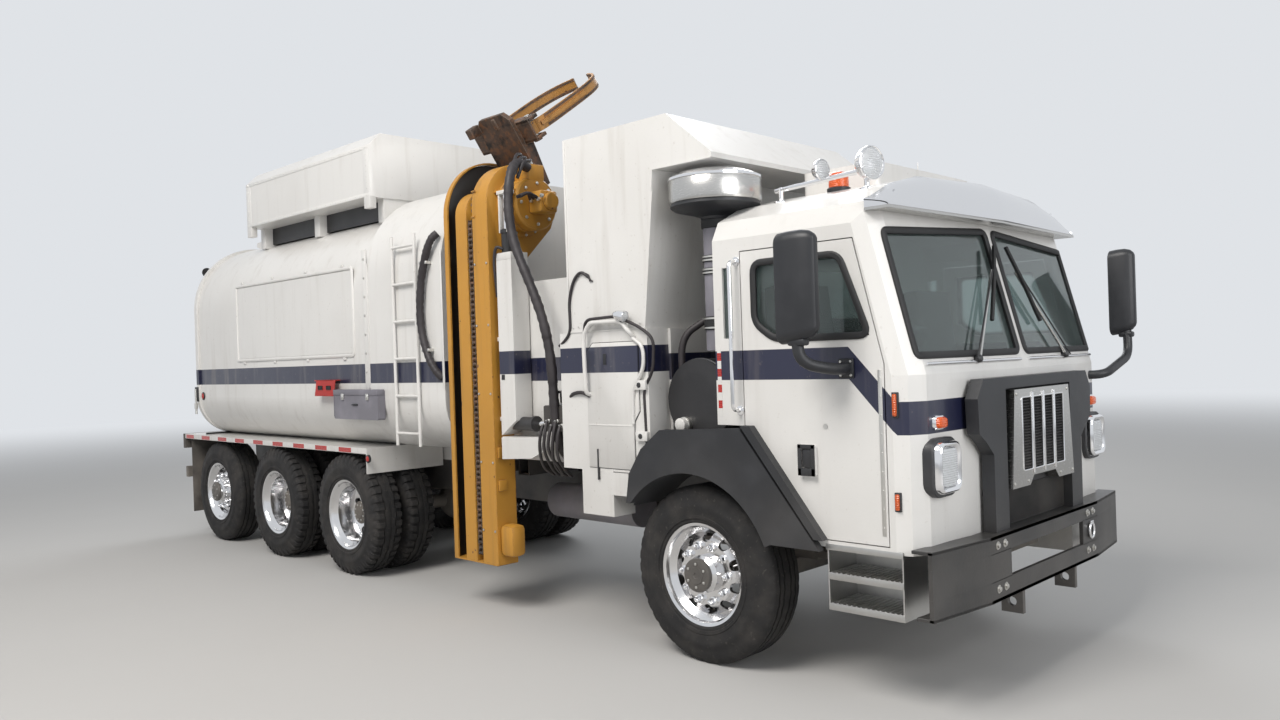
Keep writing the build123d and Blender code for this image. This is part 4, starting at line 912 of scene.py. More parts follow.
# %% Door fittings
HANDLE = (3.830, 3.930, 1.180, 1.340)
for side, sign in SIDES:
    piece = Piece(f"door_fittings_{side}", f"door_{side}").use(black_plastic)
    x0, x1, z0, z1 = HANDLE
    frame = (((x0, z0), (x1, z0 + 0.034)), ((x0, z1 - 0.016), (x1, z1)),
             ((x0, z0), (x0 + 0.016, z1)), ((x1 - 0.016, z0), (x1, z1)))
    for low, high in frame:
        piece.box((low[0] - 0.003, sign * 1.2440, low[1] - 0.003),
                  (high[0] + 0.003, sign * 1.2515, high[1] + 0.003), 0.002)
    piece.box((x0 + 0.022, sign * 1.2290, z0 + 0.040), (x1 - 0.022, sign * 1.2440, z1 - 0.022),
              0.004)
    flare = [(3.458, 1.432), (3.523, 1.432), (3.983, 0.848), (3.927, 0.848)]
    piece.slab(flare, sign * 1.2205, sign * 1.2725)
    piece.use(zinc)
    piece.box((4.306, sign * 1.2195, 0.90), (4.329, sign * 1.2225, 1.73), 0.001)
    for k in range(9):
        piece.turned((4.3175, sign * 1.2225, 0.94 + 0.094 * k), (0, sign, 0),
                     [(0, 0.005), (0.0022, 0.003)], 8)
    piece.rod((3.99, sign * 1.2215, 1.44), (3.99, sign * 1.2235, 1.44), 0.014, 16)
    piece.done("black_plastic")

piece = Piece("cab_side_trim", "chassis")
for sign in (-1, 1):
    piece.use(chrome)
    tube(piece, [(3.430, sign * 1.218, 2.350), (3.430, sign * 1.285, 2.345),
                 (3.430, sign * 1.285, 1.520), (3.430, sign * 1.218, 1.515)], 0.0125, 0.035)
    for z in (2.350, 1.515):
        piece.bolt((3.430, sign * 1.219, z), (0, sign, 0), 0.026, 0.006, 0.018, 0.009, 20)
    # the red blocks of this marker strip take the red lens finish, whose faint glow is painted
    # light: the strip is no lamp
    for k in range(9):
        piece.use(red_lens if k % 2 else plain_white)
        piece.box((3.272, sign * 1.2195, 1.48 + 0.045 * k),
                  (3.300, sign * 1.2215, 1.525 + 0.045 * k))
    for z, tall in ((1.555, 0.055), (1.075, 0.040)):
        piece.use(black_plastic)
        piece.box((4.378, sign * 1.205, z - tall - 0.008), (4.412, sign * 1.222, z + tall + 0.008),
                  0.003)
        piece.use(amber_lens)
        piece.box((4.384, sign * 1.210, z - tall), (4.406, sign * 1.232, z + tall), 0.006)
piece.done("chrome")

# %% [markdown]
# ## Grille
# The frame gives a bare stainless plate with four pockets. Each pocket gets a thin black sheet at
# its back, painted shade of the depth behind the grille, and a stack of thin louvres; the bars
# between them get rounded faces, and the cooler shows as fine upright fins in the gap below.

# %% Grille
piece = Piece("grille_louvres", "chassis")
GRILLE_FACE = 4.628
BAY, BAY_HALF = 0.148, 0.057
LOUVRES, FINS = 24, 66
for k in range(4):
    y = (k - 1.5) * BAY
    # painted shade: a thin black sheet at the back of each pocket darkens the opening behind the
    # louvres
    piece.use(seal_rubber).box((4.6030, y - BAY_HALF, 1.151), (4.6045, y + BAY_HALF, 1.539))
    piece.use(black_steel)
    for n in range(LOUVRES):
        z = 1.160 + 0.0160 * n
        piece.loft([[(4.606, yy, z), (4.621, yy, z - 0.006), (4.621, yy, z - 0.003),
                     (4.606, yy, z + 0.004)] for yy in (y - BAY_HALF, y + BAY_HALF)])
    piece.use(chrome)
    corners = [(GRILLE_FACE + 0.0005, y + a * 0.062, 1.345 + b * 0.199)
               for a, b in ((-1, -1), (1, -1), (1, 1), (-1, 1))]
    piece.hoop(soft_loop(corners, 0.012), round_profile(0.0045, 8), AHEAD)
for y in (-BAY, 0.0, BAY):
    piece.box((GRILLE_FACE - 0.001, y - 0.0085, 1.120), (GRILLE_FACE + 0.007, y + 0.0085, 1.568),
              0.003)
piece.use(zinc)
for y, z in ((0.35, 1.565), (0.40, 1.085), (0.225, 1.085)):
    for sign in (-1, 1):
        piece.bolt((GRILLE_FACE - 0.001, sign * y, z), AHEAD, 0.009, 0.004, 0.006, 0.006, 8)
piece.use(black_steel)
for n in range(FINS):
    y = -0.429 + 0.0132 * n
    piece.box((4.5485, y - 0.002, 0.860), (4.5600, y + 0.002, 1.052))
piece.done("frame_black")

# %% [markdown]
# ## Headlamps and turn lamps
# A headlamp is a row of rounded rectangles of changing size: out along the chrome bezel, over its
# lip and back into the bowl. Two round reflectors with bulbs sit inside, behind a domed clear lens.
# These pieces, with the roof lamps below, stand in for the frame's plain lamp blocks.

# %% Headlamps
def frame_ring(x, y, z, half_y, half_z, corner, steps=5):
    """A rounded rectangle that faces forward, as a loop of points."""
    corner = min(corner, half_y - 0.001, half_z - 0.001)
    loop = []
    for quarter, (a, b) in enumerate(((1, 1), (-1, 1), (-1, -1), (1, -1))):
        for k in range(steps + 1):
            t = math.pi / 2 * (quarter + k / steps)
            loop.append(Vector((x, y + a * (half_y - corner) + corner * math.cos(t),
                                z + b * (half_z - corner) + corner * math.sin(t))))
    return loop


piece = Piece("headlamps", "chassis")
for sign in (-1, 1):
    y, z = sign * 1.000, 1.235
    piece.use(black_plastic)
    piece.loft([frame_ring(x, y, z, 0.115 + g, 0.130 + g, 0.055 + g) for x, g in
                ((4.475, 0.018), (4.536, 0.018), (4.541, 0.013), (4.541, 0.000))], caps=False)
    piece.use(chrome)
    bezel = ((4.490, 0.001), (4.560, 0.001), (4.571, 0.006), (4.576, 0.014), (4.572, 0.026),
             (4.560, 0.034), (4.535, 0.038), (4.518, 0.060), (4.512, 0.090))
    piece.loft([frame_ring(x, y, z, 0.115 - g, 0.130 - g, 0.052 - g * 0.5) for x, g in bezel],
               caps=False)
    piece.loft([frame_ring(4.512, y, z, 0.030, 0.042, 0.02),
                frame_ring(4.511, y, z, 0.004, 0.004, 0.002)], caps=False)
    for up in (0.050, -0.048):
        at = (4.552, y, z + up)
        piece.use(chrome)
        piece.turned(at, AHEAD, [(0.000, 0.047), (0.003, 0.044), (-0.014, 0.034), (-0.028, 0.014),
                                 (-0.030, 0.004)], 28, caps=False)
        piece.use(clear_lens)
        piece.bolt((4.524, y, z + up), AHEAD, 0.008, 0.016, 0.004, 0.022, 12)
piece.done("chrome", ["lamps"])

piece = Piece("lamp_lenses", "chassis")
for sign in (-1, 1):
    y, z = sign * 1.000, 1.235
    piece.use(clear_lens)
    piece.loft([frame_ring(x, y, z, 0.080 - g, 0.095 - g, 0.035 - g * 0.3) for x, g in
                ((4.561, 0.000), (4.566, 0.001), (4.570, 0.012), (4.573, 0.035), (4.574, 0.060))])
    y, z = sign * 1.010, 1.4575
    piece.use(chrome)
    piece.loft([frame_ring(x, y, z, 0.050 - g, 0.0375 - g, 0.024 - g * 0.4) for x, g in
                ((4.488, 0.000), (4.520, 0.000), (4.526, 0.004), (4.527, 0.009))])
    piece.use(amber_lens)
    piece.loft([frame_ring(x, y, z, 0.041 - g, 0.0285 - g, 0.020 - g * 0.4) for x, g in
                ((4.522, 0.000), (4.538, 0.001), (4.547, 0.006), (4.550, 0.016))])
piece.done("lamp_lens", ["lamps"])

# %% [markdown]
# ## Lamps on the roof
# A round work lamp stands on a long chrome tube with a smaller one behind it, and an amber beacon
# turns beside them. All are turned parts: the profile runs from the back of the bowl to the lens.

# %% Roof lamps
def round_lamp(piece, back, front, radius, lens_material):
    """A chrome bowl from `back` to `front` with a domed lens."""
    back, front = Vector(back), Vector(front)
    axis = front - back
    deep = axis.length
    piece.use(chrome)
    piece.turned(back, axis, [(-0.004, 0.0), (0.0, 0.38 * radius), (0.20 * deep, 0.72 * radius),
                              (0.55 * deep, 0.93 * radius), (0.86 * deep, 0.985 * radius),
                              (0.88 * deep, radius), (deep, radius), (deep + 0.002, 0.95 * radius),
                              (deep - 0.004, 0.90 * radius), (deep - 0.020, 0.80 * radius)], 36,
                 caps=False)
    piece.use(lens_material)
    piece.turned(back, axis, [(deep - 0.012, 0.90 * radius), (deep - 0.003, 0.90 * radius),
                              (deep + 0.004, 0.72 * radius), (deep + 0.008, 0.40 * radius),
                              (deep + 0.009, 0.0)], 36, caps=False)


piece = Piece("roof_lamps", "chassis")
round_lamp(piece, (4.030, -0.860, 2.835), (4.112, -0.878, 2.835), 0.094, clear_lens)
round_lamp(piece, (3.730, -0.855, 2.850), (3.786, -0.862, 2.850), 0.061, clear_lens)
piece.use(chrome)
tube(piece, [(3.452, -0.855, 2.775), (3.475, -0.855, 2.776), (4.036, -0.860, 2.805)], 0.014, 0.02,
     14)
for x in (3.490, 4.060):
    piece.rod((x, -0.855, 2.690), (x, -0.855, 2.790), 0.0145, 14)
    piece.turned((x, -0.855, 2.688), (0, 0.18, 1),
                 [(0.004, 0.042), (0.014, 0.042), (0.018, 0.030), (0.030, 0.018)], 20)
piece.rod((3.745, -0.857, 2.786), (3.745, -0.857, 2.806), 0.010, 10)
BEACON = (3.720, -0.600, 2.720)
piece.use(black_plastic)
piece.turned(BEACON, UP, [(0.0, 0.050), (0.030, 0.050), (0.034, 0.069), (0.058, 0.069),
                          (0.062, 0.064)], 28)
piece.use(amber_lens)
piece.turned(BEACON, UP, [(0.058, 0.060), (0.120, 0.058), (0.142, 0.050), (0.153, 0.034),
                          (0.156, 0.0)], 28, caps=False)
piece.done("lamp_lens", ["lamps"])

# %% [markdown]
# ## Wipers and mirrors
# The frame has each wiper's main arm. A second thin arm runs beside it to a black blade. Each
# mirror is a rounded shell with bright glass on its back, held by a bent tube, and replaces the
# frame's.

# %% Wipers and mirrors
piece = Piece("wiper_blades", "chassis")
for sign, foot in ((-1, 0.560), (1, 0.620)):
    start = Vector((4.534, sign * foot, 1.765))
    end = Vector((4.424, sign * (foot - 0.430), 2.262))
    arm = (end - start).normalized()
    beside = Vector((0.06, sign * 1.0, 0.0)).normalized()
    piece.use(black_steel)
    piece.rod(start + beside * 0.045, end + beside * 0.012, 0.005, 8)
    piece.bolt(start + Vector((-0.03, 0, -0.004)), (1, 0, 0.2), 0.022, 0.030, 0.014, 0.038, 16)
    piece.use(seal_rubber)
    lean = (arm + beside * 0.22).normalized()
    low, high = end - lean * 0.34, end + lean * 0.17
    piece.loft(along([low, low.lerp(high, 0.5) + Vector((0.006, 0, 0)), high],
                     [(-0.006, -0.012), (0.006, -0.012), (0.008, 0.004), (0.0, 0.012),
                      (-0.008, 0.004)], (1, 0, 0.26)))
piece.done("black_plastic")


def mirror_head(piece, face_x, y, z, half_y, half_z, deep):
    """A mirror: glass at face_x that looks back, and a shell closed round it towards the front."""
    piece.use(black_plastic)
    piece.loft([frame_ring(face_x + x * deep, y, z + 0.02 * x, half_y - g, half_z - g * 1.4,
                           0.060 - g) for x, g in ((0.0, 0.004), (0.03, 0.0), (0.30, 0.0),
                                                   (0.62, 0.004), (0.84, 0.014), (0.96, 0.028),
                                                   (1.0, 0.038))])
    piece.use(mirror_face)
    piece.loft([frame_ring(x, y, z, half_y - 0.010, half_z - 0.014, 0.045)
                for x in (face_x - 0.0015, face_x + 0.002)])


piece = Piece("door_mirror", "door_right")
mirror_head(piece, 3.937, -1.505, 2.150, 0.055, 0.280, 0.218)
piece.use(black_plastic)
tube(piece, [(4.130, -1.2205, 1.740), (4.128, -1.345, 1.738), (4.040, -1.500, 1.775),
             (4.025, -1.505, 1.905)], 0.030, 0.09, 16)
piece.box((4.085, -1.232, 1.690), (4.175, -1.2205, 1.790), 0.008)
piece.box((3.985, -1.535, 1.862), (4.085, -1.475, 1.900), 0.012)
piece.use(zinc)
for x, z in ((4.100, 1.705), (4.160, 1.705), (4.100, 1.775), (4.160, 1.775)):
    piece.bolt((x, -1.232, z), RIGHT, 0.007, 0.005, 0.004, 0.006)
piece.done("black_plastic", ["mirror_right"])

piece = Piece("corner_mirror", "chassis")
mirror_head(piece, 4.503, 1.505, 2.160, 0.054, 0.288, 0.156)
piece.use(black_plastic)
tube(piece, [(4.420, 1.050, 1.620), (4.600, 1.060, 1.620), (4.612, 1.480, 1.735),
             (4.600, 1.505, 1.900)], 0.028, 0.09, 16)
piece.box((4.550, 1.475, 1.858), (4.640, 1.535, 1.896), 0.012)
piece.done("black_plastic", ["mirror_left"])

# %% [markdown]
# ## Bumper and steps
# The bumper is bent plate, swept back at its ends, with a long slot for the tow straps. It is drawn
# in plan and raised in three bands: above the slot, below it and on each side of it. Four bolts
# hold each arm and a bright ring hangs beside them. The alloy step treads are ribbed for grip.

# %% Bumper
FRONT, SWEPT, BUMPER_SHEET = 4.641, 4.581, 0.022
BEND_Y, END_Y, SLOT_Y = 0.740, 1.243, 0.500


def plan(piece, points, z_low, z_high):
    """A plate whose (x, y) outline is raised from z_low to z_high, its edges eased."""
    ease = 0.003
    middle = Vector((sum(p[0] for p in points), sum(p[1] for p in points))) / len(points)
    small = [(x, y + ease * (-1 if y > middle.y else 1)) for x, y in points]
    rows = ((z_low, small), (z_low + ease, points), (z_high - ease, points), (z_high, small))
    return piece.loft([[(x, y, z) for x, y in loop] for z, loop in rows])


def bent(depth, y_from=-END_Y, y_to=END_Y):
    """Outline of the bent plate in plan, `depth` thick, between two places across the truck."""
    def front_at(y):
        return FRONT - (FRONT - SWEPT) * max(0.0, abs(y) - BEND_Y) / (END_Y - BEND_Y)
    stops = [y for y in (-END_Y, -BEND_Y, BEND_Y, END_Y) if y_from < y < y_to]
    line = [(front_at(y), y) for y in (y_from, *stops, y_to)]
    return line + [(x - depth, y) for x, y in reversed(line)]


piece = Piece("front_bumper", "chassis").use(bumper_black)
plan(piece, bent(BUMPER_SHEET), 0.760, 0.852)
plan(piece, bent(BUMPER_SHEET), 0.510, 0.620)
for y_from, y_to in ((-END_Y, -SLOT_Y), (SLOT_Y, END_Y)):
    plan(piece, bent(BUMPER_SHEET, y_from, y_to), 0.617, 0.763)
plan(piece, bent(0.108), 0.834, 0.8515)
plan(piece, bent(0.090), 0.5105, 0.528)
for sign in (-1, 1):
    piece.box((4.250, sign * 0.335, 0.768), (4.625, sign * 0.420, 0.838), 0.004)
piece.done("frame_black", ["bumper"])

# %% Bumper bolts and step treads
piece = Piece("bumper_bolts", "chassis").use(zinc)
for sign in (-1, 1):
    for y, z in ((0.575, 0.800), (0.660, 0.800), (0.575, 0.575), (0.660, 0.575)):
        piece.bolt((FRONT - 0.001, sign * y, z), AHEAD, 0.022, 0.003, 0.017, 0.004, 20)
        piece.bolt((FRONT + 0.002, sign * y, z), AHEAD, 0.0135, 0.009, 0.010, 0.011)
piece.use(chrome)
ring_path = [Vector((FRONT + 0.0095, 0.615 + 0.034 * math.cos(t), 0.690 + 0.044 * math.sin(t)))
             for t in [2 * math.pi * k / 28 for k in range(28)]]
piece.hoop(ring_path, round_profile(0.0085, 10), AHEAD)
piece.box((FRONT - 0.001, 0.595, 0.728), (FRONT + 0.017, 0.635, 0.750), 0.004)
piece.done("chrome")

piece = Piece("step_ribs", "chassis").use(tread_alloy)
for sign in (-1, 1):
    for top in (0.515, 0.675):
        for k in range(15):
            x = 3.992 + 0.028 * k
            piece.box((x - 0.006, sign * 0.960, top - 0.001),
                      (x + 0.006, sign * 1.2085, top + 0.0045), 0.002)
        piece.box((3.970, sign * 1.2090, top - 0.034), (4.410, sign * 1.2125, top + 0.002), 0.0015)
    piece.box((3.965, sign * 1.2095, 0.795), (4.415, sign * 1.2210, 0.828), 0.003)
piece.done("tread_alloy")

# %% [markdown]
# ## The lift's column
# The frame carries a plain column. Looked at closely it is a row of nested forms: a thin side plate
# with a curved lip bent over it, the open channel the carriage runs in, a middle beam, the chain's
# groove and a front box. Plate, beam and box are outlines in Y and Z with a round head, carried
# along X by one function. The lip is a thin section lofted round the plate's own arc.

# %% The lift's column
MAST_LOW, MAST_INNER = 0.350, -1.040
TIP = (-0.900, 2.980)
TIPPED = math.radians(-145)
HEAD = 0.320


def polar(centre, radius, start, end, steps):
    """Points (y, z) of an arc; 0 degrees points outwards from the truck and 90 up."""
    turns = [math.radians(start + (end - start) * k / steps) for k in range(steps + 1)]
    return [(centre[0] - radius * math.cos(t), centre[1] + radius * math.sin(t)) for t in turns]


def headed(piece, x_low, x_high, centre, radius, shoulder):
    """A form of the column whose top is a round head and whose back narrows to the column."""
    outline = [(centre[0] - radius, MAST_LOW), *polar(centre, radius, 0, 205, 24),
               (MAST_INNER, centre[1] - shoulder), (MAST_INNER, MAST_LOW)]
    edge = 0.004
    inside = [(y + edge * (1 if y < centre[0] else -1), z - edge * (1 if z > 2.5 else -1))
              for y, z in outline]
    rows = ((x_low, inside), (x_low + edge, outline), (x_high - edge, outline), (x_high, inside))
    piece.loft([[(x, y, z) for y, z in loop] for x, loop in rows])


# The side plate, channel and chain groove take the grease finish, whose darkened yellow is painted
# shade of the recess.
piece = Piece("mast_column", "lift_mast").use(grease_and_shade_yellow)
LIP_CENTRE, LIP_RADIUS, SHEET = (-0.770, 2.950), 0.450, 0.012
headed(piece, 0.614, 0.624, LIP_CENTRE, LIP_RADIUS - 0.014, 0.45)
piece.box((0.620, -1.100, MAST_LOW), (0.770, MAST_INNER, 2.610))
piece.box((0.890, -1.130, MAST_LOW), (0.975, MAST_INNER, 2.610))
piece.use(lift_yellow)
run = [(-1.220, MAST_LOW, 1, 0), *[(y, z, (LIP_CENTRE[0] - y) / LIP_RADIUS,
                                    (z - LIP_CENTRE[1]) / LIP_RADIUS)
                                   for y, z in polar(LIP_CENTRE, LIP_RADIUS, 0, 185, 26)]]
piece.loft([[(0.610, y, z), (0.660, y, z), (0.660, y + out * SHEET, z - up * SHEET),
             (0.610, y + out * SHEET, z - up * SHEET)] for y, z, out, up in run])
headed(piece, 0.760, 0.895, (-1.030, 2.930), 0.190, 0.33)
headed(piece, 0.970, 1.150, TIP, HEAD, 0.56)
piece.box((0.612, -1.219, MAST_LOW - 0.001), (1.148, MAST_INNER, MAST_LOW + 0.012))
piece.box((1.146, -1.200, 0.420), (1.300, -1.070, 0.650), 0.035)
for z in (0.890, 1.130):
    piece.box((1.146, -1.195, z), (1.166, -1.125, z + 0.080), 0.004)
for z in (0.60, 1.10, 1.60, 2.10, 2.55):
    piece.use(zinc)
    for x in (0.990, 1.130):
        piece.bolt((x, -1.2195, z), RIGHT, 0.009, 0.006, 0.005, 0.008)
piece.use(black_steel)
for z in (0.55, 1.60, 2.50):
    piece.box((0.702, -1.104, z), (0.730, -1.096, z + 0.30))
for side in (-1, 1):
    x = 0.910 + side * 0.130
    piece.box((x - 0.060, -1.070, 1.140), (x + 0.060, -0.980, 1.260), 0.004)
    piece.use(zinc).box((x - 0.048, -0.985, 1.152), (x + 0.048, 0.880, 1.248), 0.006)
    piece.use(black_steel)
piece.done("lift_yellow", ["lift_mast"])

# %% [markdown]
# The chain shows as a ladder of dark links down its groove. One link is a roller between two side
# plates, and it repeats at the chain's pitch. Over the head it runs on a toothed wheel, which tips
# with the carriage, so the wheel, its shaft and the two links belong to that body.

# %% Chain, chain wheel and its links
PITCH = 0.040
CHAIN_X, CHAIN_Y, CHAIN_HALF = 0.9325, -1.200, 0.024
TO_HEAD, FROM_HEAD = Matrix.Translation((0, *TIP)), Matrix.Translation((0, -TIP[0], -TIP[1]))
OVER = TO_HEAD @ Matrix.Rotation(TIPPED, 4, "X") @ FROM_HEAD
piece = Piece("lift_chain", "lift_mast").use(gripper_steel)
for k in range(62):
    z = 0.420 + PITCH * k
    wide = CHAIN_HALF - 0.004 * (k % 2)
    piece.rod((CHAIN_X - CHAIN_HALF, CHAIN_Y, z), (CHAIN_X + CHAIN_HALF, CHAIN_Y, z), 0.0105, 8)
    for sign in (-1, 1):
        x = CHAIN_X + sign * wide
        piece.box((x - 0.002, CHAIN_Y - 0.014, z - 0.012), (x + 0.002, CHAIN_Y + 0.014, z + 0.026))
piece.done("dark_steel")

piece = Piece("chain_wheel", "tip_link").use(gripper_steel)
teeth = 40
loop = []
for k in range(teeth):
    for share, radius in ((0.0, 0.272), (0.30, 0.272), (0.45, 0.290), (0.85, 0.290)):
        t = 2 * math.pi * (k + share) / teeth
        loop.append((TIP[0] + radius * math.cos(t), TIP[1] + radius * math.sin(t)))
piece.bar(loop, CHAIN_X - 0.012, CHAIN_X + 0.012)
piece.rod((0.600, *TIP), (1.149, *TIP), 0.040, 24)
piece.bolt((0.6, *TIP), BACK, 0.062, 0.008, 0.030, 0.010)
for x, half in ((0.710, 0.016), (CHAIN_X, 0.018)):
    sections = ((-0.850, 2.915, 3.045), (-0.960, 2.915, 3.045), (-1.150, 2.900, 3.020),
                (-1.2315, 2.890, 3.010))
    piece.loft([[(x + s * half, y, z) for s in (-1, 1)] + [(x + s * half, y, z2) for s in (1, -1)]
                for y, z, z2 in sections])
piece.done("dark_steel", ["lift_sprocket"], turn=OVER)

# %% [markdown]
# ## Carriage and gripper
# Both are drawn with the lift upright, which is easy to think about, and then turned about the
# column's head to the tipped place over the hopper. The carriage is a chamfered plate with cheeks,
# four guide blocks and the crosspiece with the two pins. A gripper finger is one steel band bent
# in a long hook from the eye on its pin, with a stiffening rib along its back.

# %% Carriage and gripper
PLATE_Y = -1.232
GRIP_Z, PIN_Y = 2.550, -1.344
piece = Piece("gripper_carriage", "carriage").use(gripper_steel)
outline = [(0.715, 3.010), (1.105, 3.010), (1.105, 2.420), (1.045, 2.360), (0.775, 2.360),
           (0.715, 2.420)]
piece.slab(outline, PLATE_Y, PLATE_Y - 0.040)
for x in (0.715, 1.090):
    piece.bar([(-1.268, 2.46), (-1.268, 2.99), (-1.300, 2.99), (-1.350, 2.64), (-1.350, 2.46)], x,
              x + 0.015)
crosspiece = [(-1.382, 2.475), (-1.382, 2.625), (-1.350, 2.640), (-1.270, 2.640), (-1.270, 2.460),
              (-1.350, 2.460)]
piece.bar(crosspiece, 0.780, 1.040)
for x_low, x_high in ((0.572, 0.800), (1.020, 1.248)):
    for z in (2.460, 2.612):
        piece.box((x_low, -1.382, z), (x_high, -1.270, z + 0.028), 0.006)
    piece.box((x_low, -1.284, 2.462), (x_high, -1.270, 2.638))
for z in (2.44, 2.90):
    for x in (0.738, 0.932, 1.082):
        piece.bolt((x, -1.272, z), RIGHT, 0.020, 0.012, 0.014, 0.014)
for z in (2.42, 2.88):
    piece.box((0.676, -1.238, z - 0.04), (0.744, -1.140, z + 0.04), 0.008)
    piece.box((0.912, -1.238, z - 0.04), (0.953, -1.222, z + 0.04), 0.006)
for x in (0.648, 1.172):
    piece.use(zinc).rod((x, PIN_Y, GRIP_Z - 0.100), (x, PIN_Y, GRIP_Z + 0.100), 0.020, 16)
    piece.use(gripper_steel).bolt((x, PIN_Y, GRIP_Z + 0.090), UP, 0.034, 0.016, 0.020, 0.018, 20)
piece.use(black_steel)
piece.rod((0.800, -1.395, GRIP_Z), (1.020, -1.395, GRIP_Z), 0.030, 18)
piece.use(chrome)
piece.rod((1.020, -1.395, GRIP_Z), (1.105, -1.372, GRIP_Z), 0.013, 12)
piece.use(hose_rubber)
for z in (-0.018, 0.018):
    tube(piece, [(0.830, -1.395, GRIP_Z + z * 3), (0.810, -1.395, 2.700), (0.820, -1.330, 2.840),
                 (0.840, -1.290, 3.010)], 0.010, 0.06, 10)
piece.done("dark_steel", ["lift_carriage"], turn=OVER)

for side, sign in (("rear", -1), ("front", 1)):
    piece = Piece(f"gripper_{side}_band", f"gripper_{side}").use(band_orange)
    pin = Vector((0.910 + sign * 0.262, PIN_Y, GRIP_Z))
    corners = ((0.0, 0.0), (0.058, -0.030), (0.076, -0.160), (0.080, -0.420), (0.070, -0.680),
               (-0.020, -0.860), (-0.178, -0.945))
    path = rounded([pin + Vector((sign * a, b, 0)) for a, b in corners], 0.110, 6)
    band = [(-0.008, -0.050), (0.008, -0.050), (0.008, 0.050), (-0.008, 0.050)]
    piece.loft(along(path, band, UP))
    rib = [p + Vector((sign * 0.013, 0, 0)) for p in path[4:-14]]
    piece.loft(along(rib, [(-0.014, -0.014), (0.014, -0.014), (0.014, 0.014), (-0.014, 0.014)], UP))
    piece.turned(pin - Vector((0, 0, 0.050)), UP, [(0, 0.046), (0.100, 0.046)], 28)
    tab = ((0.0, 0.044), (-0.070, 0.012), (-0.070, -0.012), (0.0, -0.044))
    piece.loft([[(pin.x + sign * a, pin.y + b, z) for a, b in tab]
                for z in (GRIP_Z - 0.020, GRIP_Z + 0.020)])
    piece.use(gripper_steel)
    for z in (-0.036, 0.036):
        piece.loft(along([p + Vector((0, 0, z)) for p in path[8:]],
                         [(-0.011, -0.008), (0.011, -0.008), (0.011, 0.008), (-0.011, 0.008)], UP))
    piece.done("lift_yellow", [f"gripper_{side}"], turn=OVER)

# %% [markdown]
# ## The lift's drive, guide and hoses
# A yellow gear case sits on the front head with a motor on its end and a valve block above. In
# front of the column stands a white housing with a cylinder coming out of its top.

# %% Drive and guide
def bolt_ring(piece, centre, axis, radius, count, size):
    """Hexagon bolts in a ring on a flange."""
    for spot in ring(centre, axis, radius, count):
        piece.turned(spot, axis, [(0, size), (size * 0.7, size), (size * 0.9, size * 0.7)], 6)


MAST_FRONT = 1.150
piece = Piece("lift_motor", "lift_mast").use(lift_yellow)
piece.turned((MAST_FRONT, *TIP), AHEAD, [(0, 0.225), (0.015, 0.225), (0.018, 0.222), (0.018, 0.196),
                                         (0.085, 0.196), (0.092, 0.188), (0.110, 0.188),
                                         (0.117, 0.196), (0.172, 0.196), (0.188, 0.182),
                                         (0.190, 0.120)], 48)
piece.box((1.330, TIP[0] - 0.080, TIP[1] - 0.080), (1.480, TIP[0] + 0.080, TIP[1] + 0.080), 0.022)
piece.turned((1.478, *TIP), AHEAD, [(0, 0.062), (0.030, 0.062), (0.036, 0.055), (0.037, 0.028)], 28)
piece.box((1.180, TIP[0] - 0.075, 3.150), (1.340, TIP[0] + 0.075, 3.270), 0.008)
piece.use(zinc)
bolt_ring(piece, (1.168, *TIP), AHEAD, 0.210, 14, 0.011)
bolt_ring(piece, (1.338, *TIP), AHEAD, 0.150, 8, 0.013)
for k in range(3):
    x = 1.212 + 0.048 * k
    piece.turned((x, TIP[0] - 0.030, 3.268), UP,
                 [(0, 0.021), (0.014, 0.021), (0.016, 0.015), (0.036, 0.015)], 6)
for k in range(4):
    piece.turned((1.500 - 0.04 * k, TIP[0] - 0.082, TIP[1] + 0.030 - 0.02 * (k % 2)), RIGHT,
                 [(0, 0.016), (0.018, 0.016), (0.020, 0.010)], 6)
piece.use(hose_rubber)
for k, drop in enumerate((0.0, 0.03, 0.06)):
    tube(piece, [(1.212 + 0.048 * k, TIP[0] - 0.030, 3.300),
                 (1.225 + 0.048 * k, TIP[0] - 0.040, 3.355 - drop),
                 (1.300 + 0.040 * k, TIP[0] - 0.150, 3.330 - drop),
                 (1.380, TIP[0] - 0.250 + 0.02 * k, 3.200 - drop)], 0.013, 0.05, 10)
for k in range(3):
    tube(piece, [(1.455 - 0.04 * k, TIP[0] - 0.095, TIP[1] + 0.02),
                 (1.470, TIP[0] - 0.190, TIP[1] + 0.05),
                 (1.440 + 0.02 * k, TIP[0] - 0.270, TIP[1] + 0.01)], 0.012, 0.05, 10)
piece.use(lift_yellow)
for z, y in ((3.090, -1.205), (2.900, -1.215), (3.200, -1.110)):
    piece.rod((0.960, y - 0.002, z), (1.010, y - 0.010, z), 0.007, 8)
piece.box((1.150, -1.150, 3.060), (1.310, -1.060, 3.078), 0.003)
piece.done("lift_yellow", ["lift_drive"])

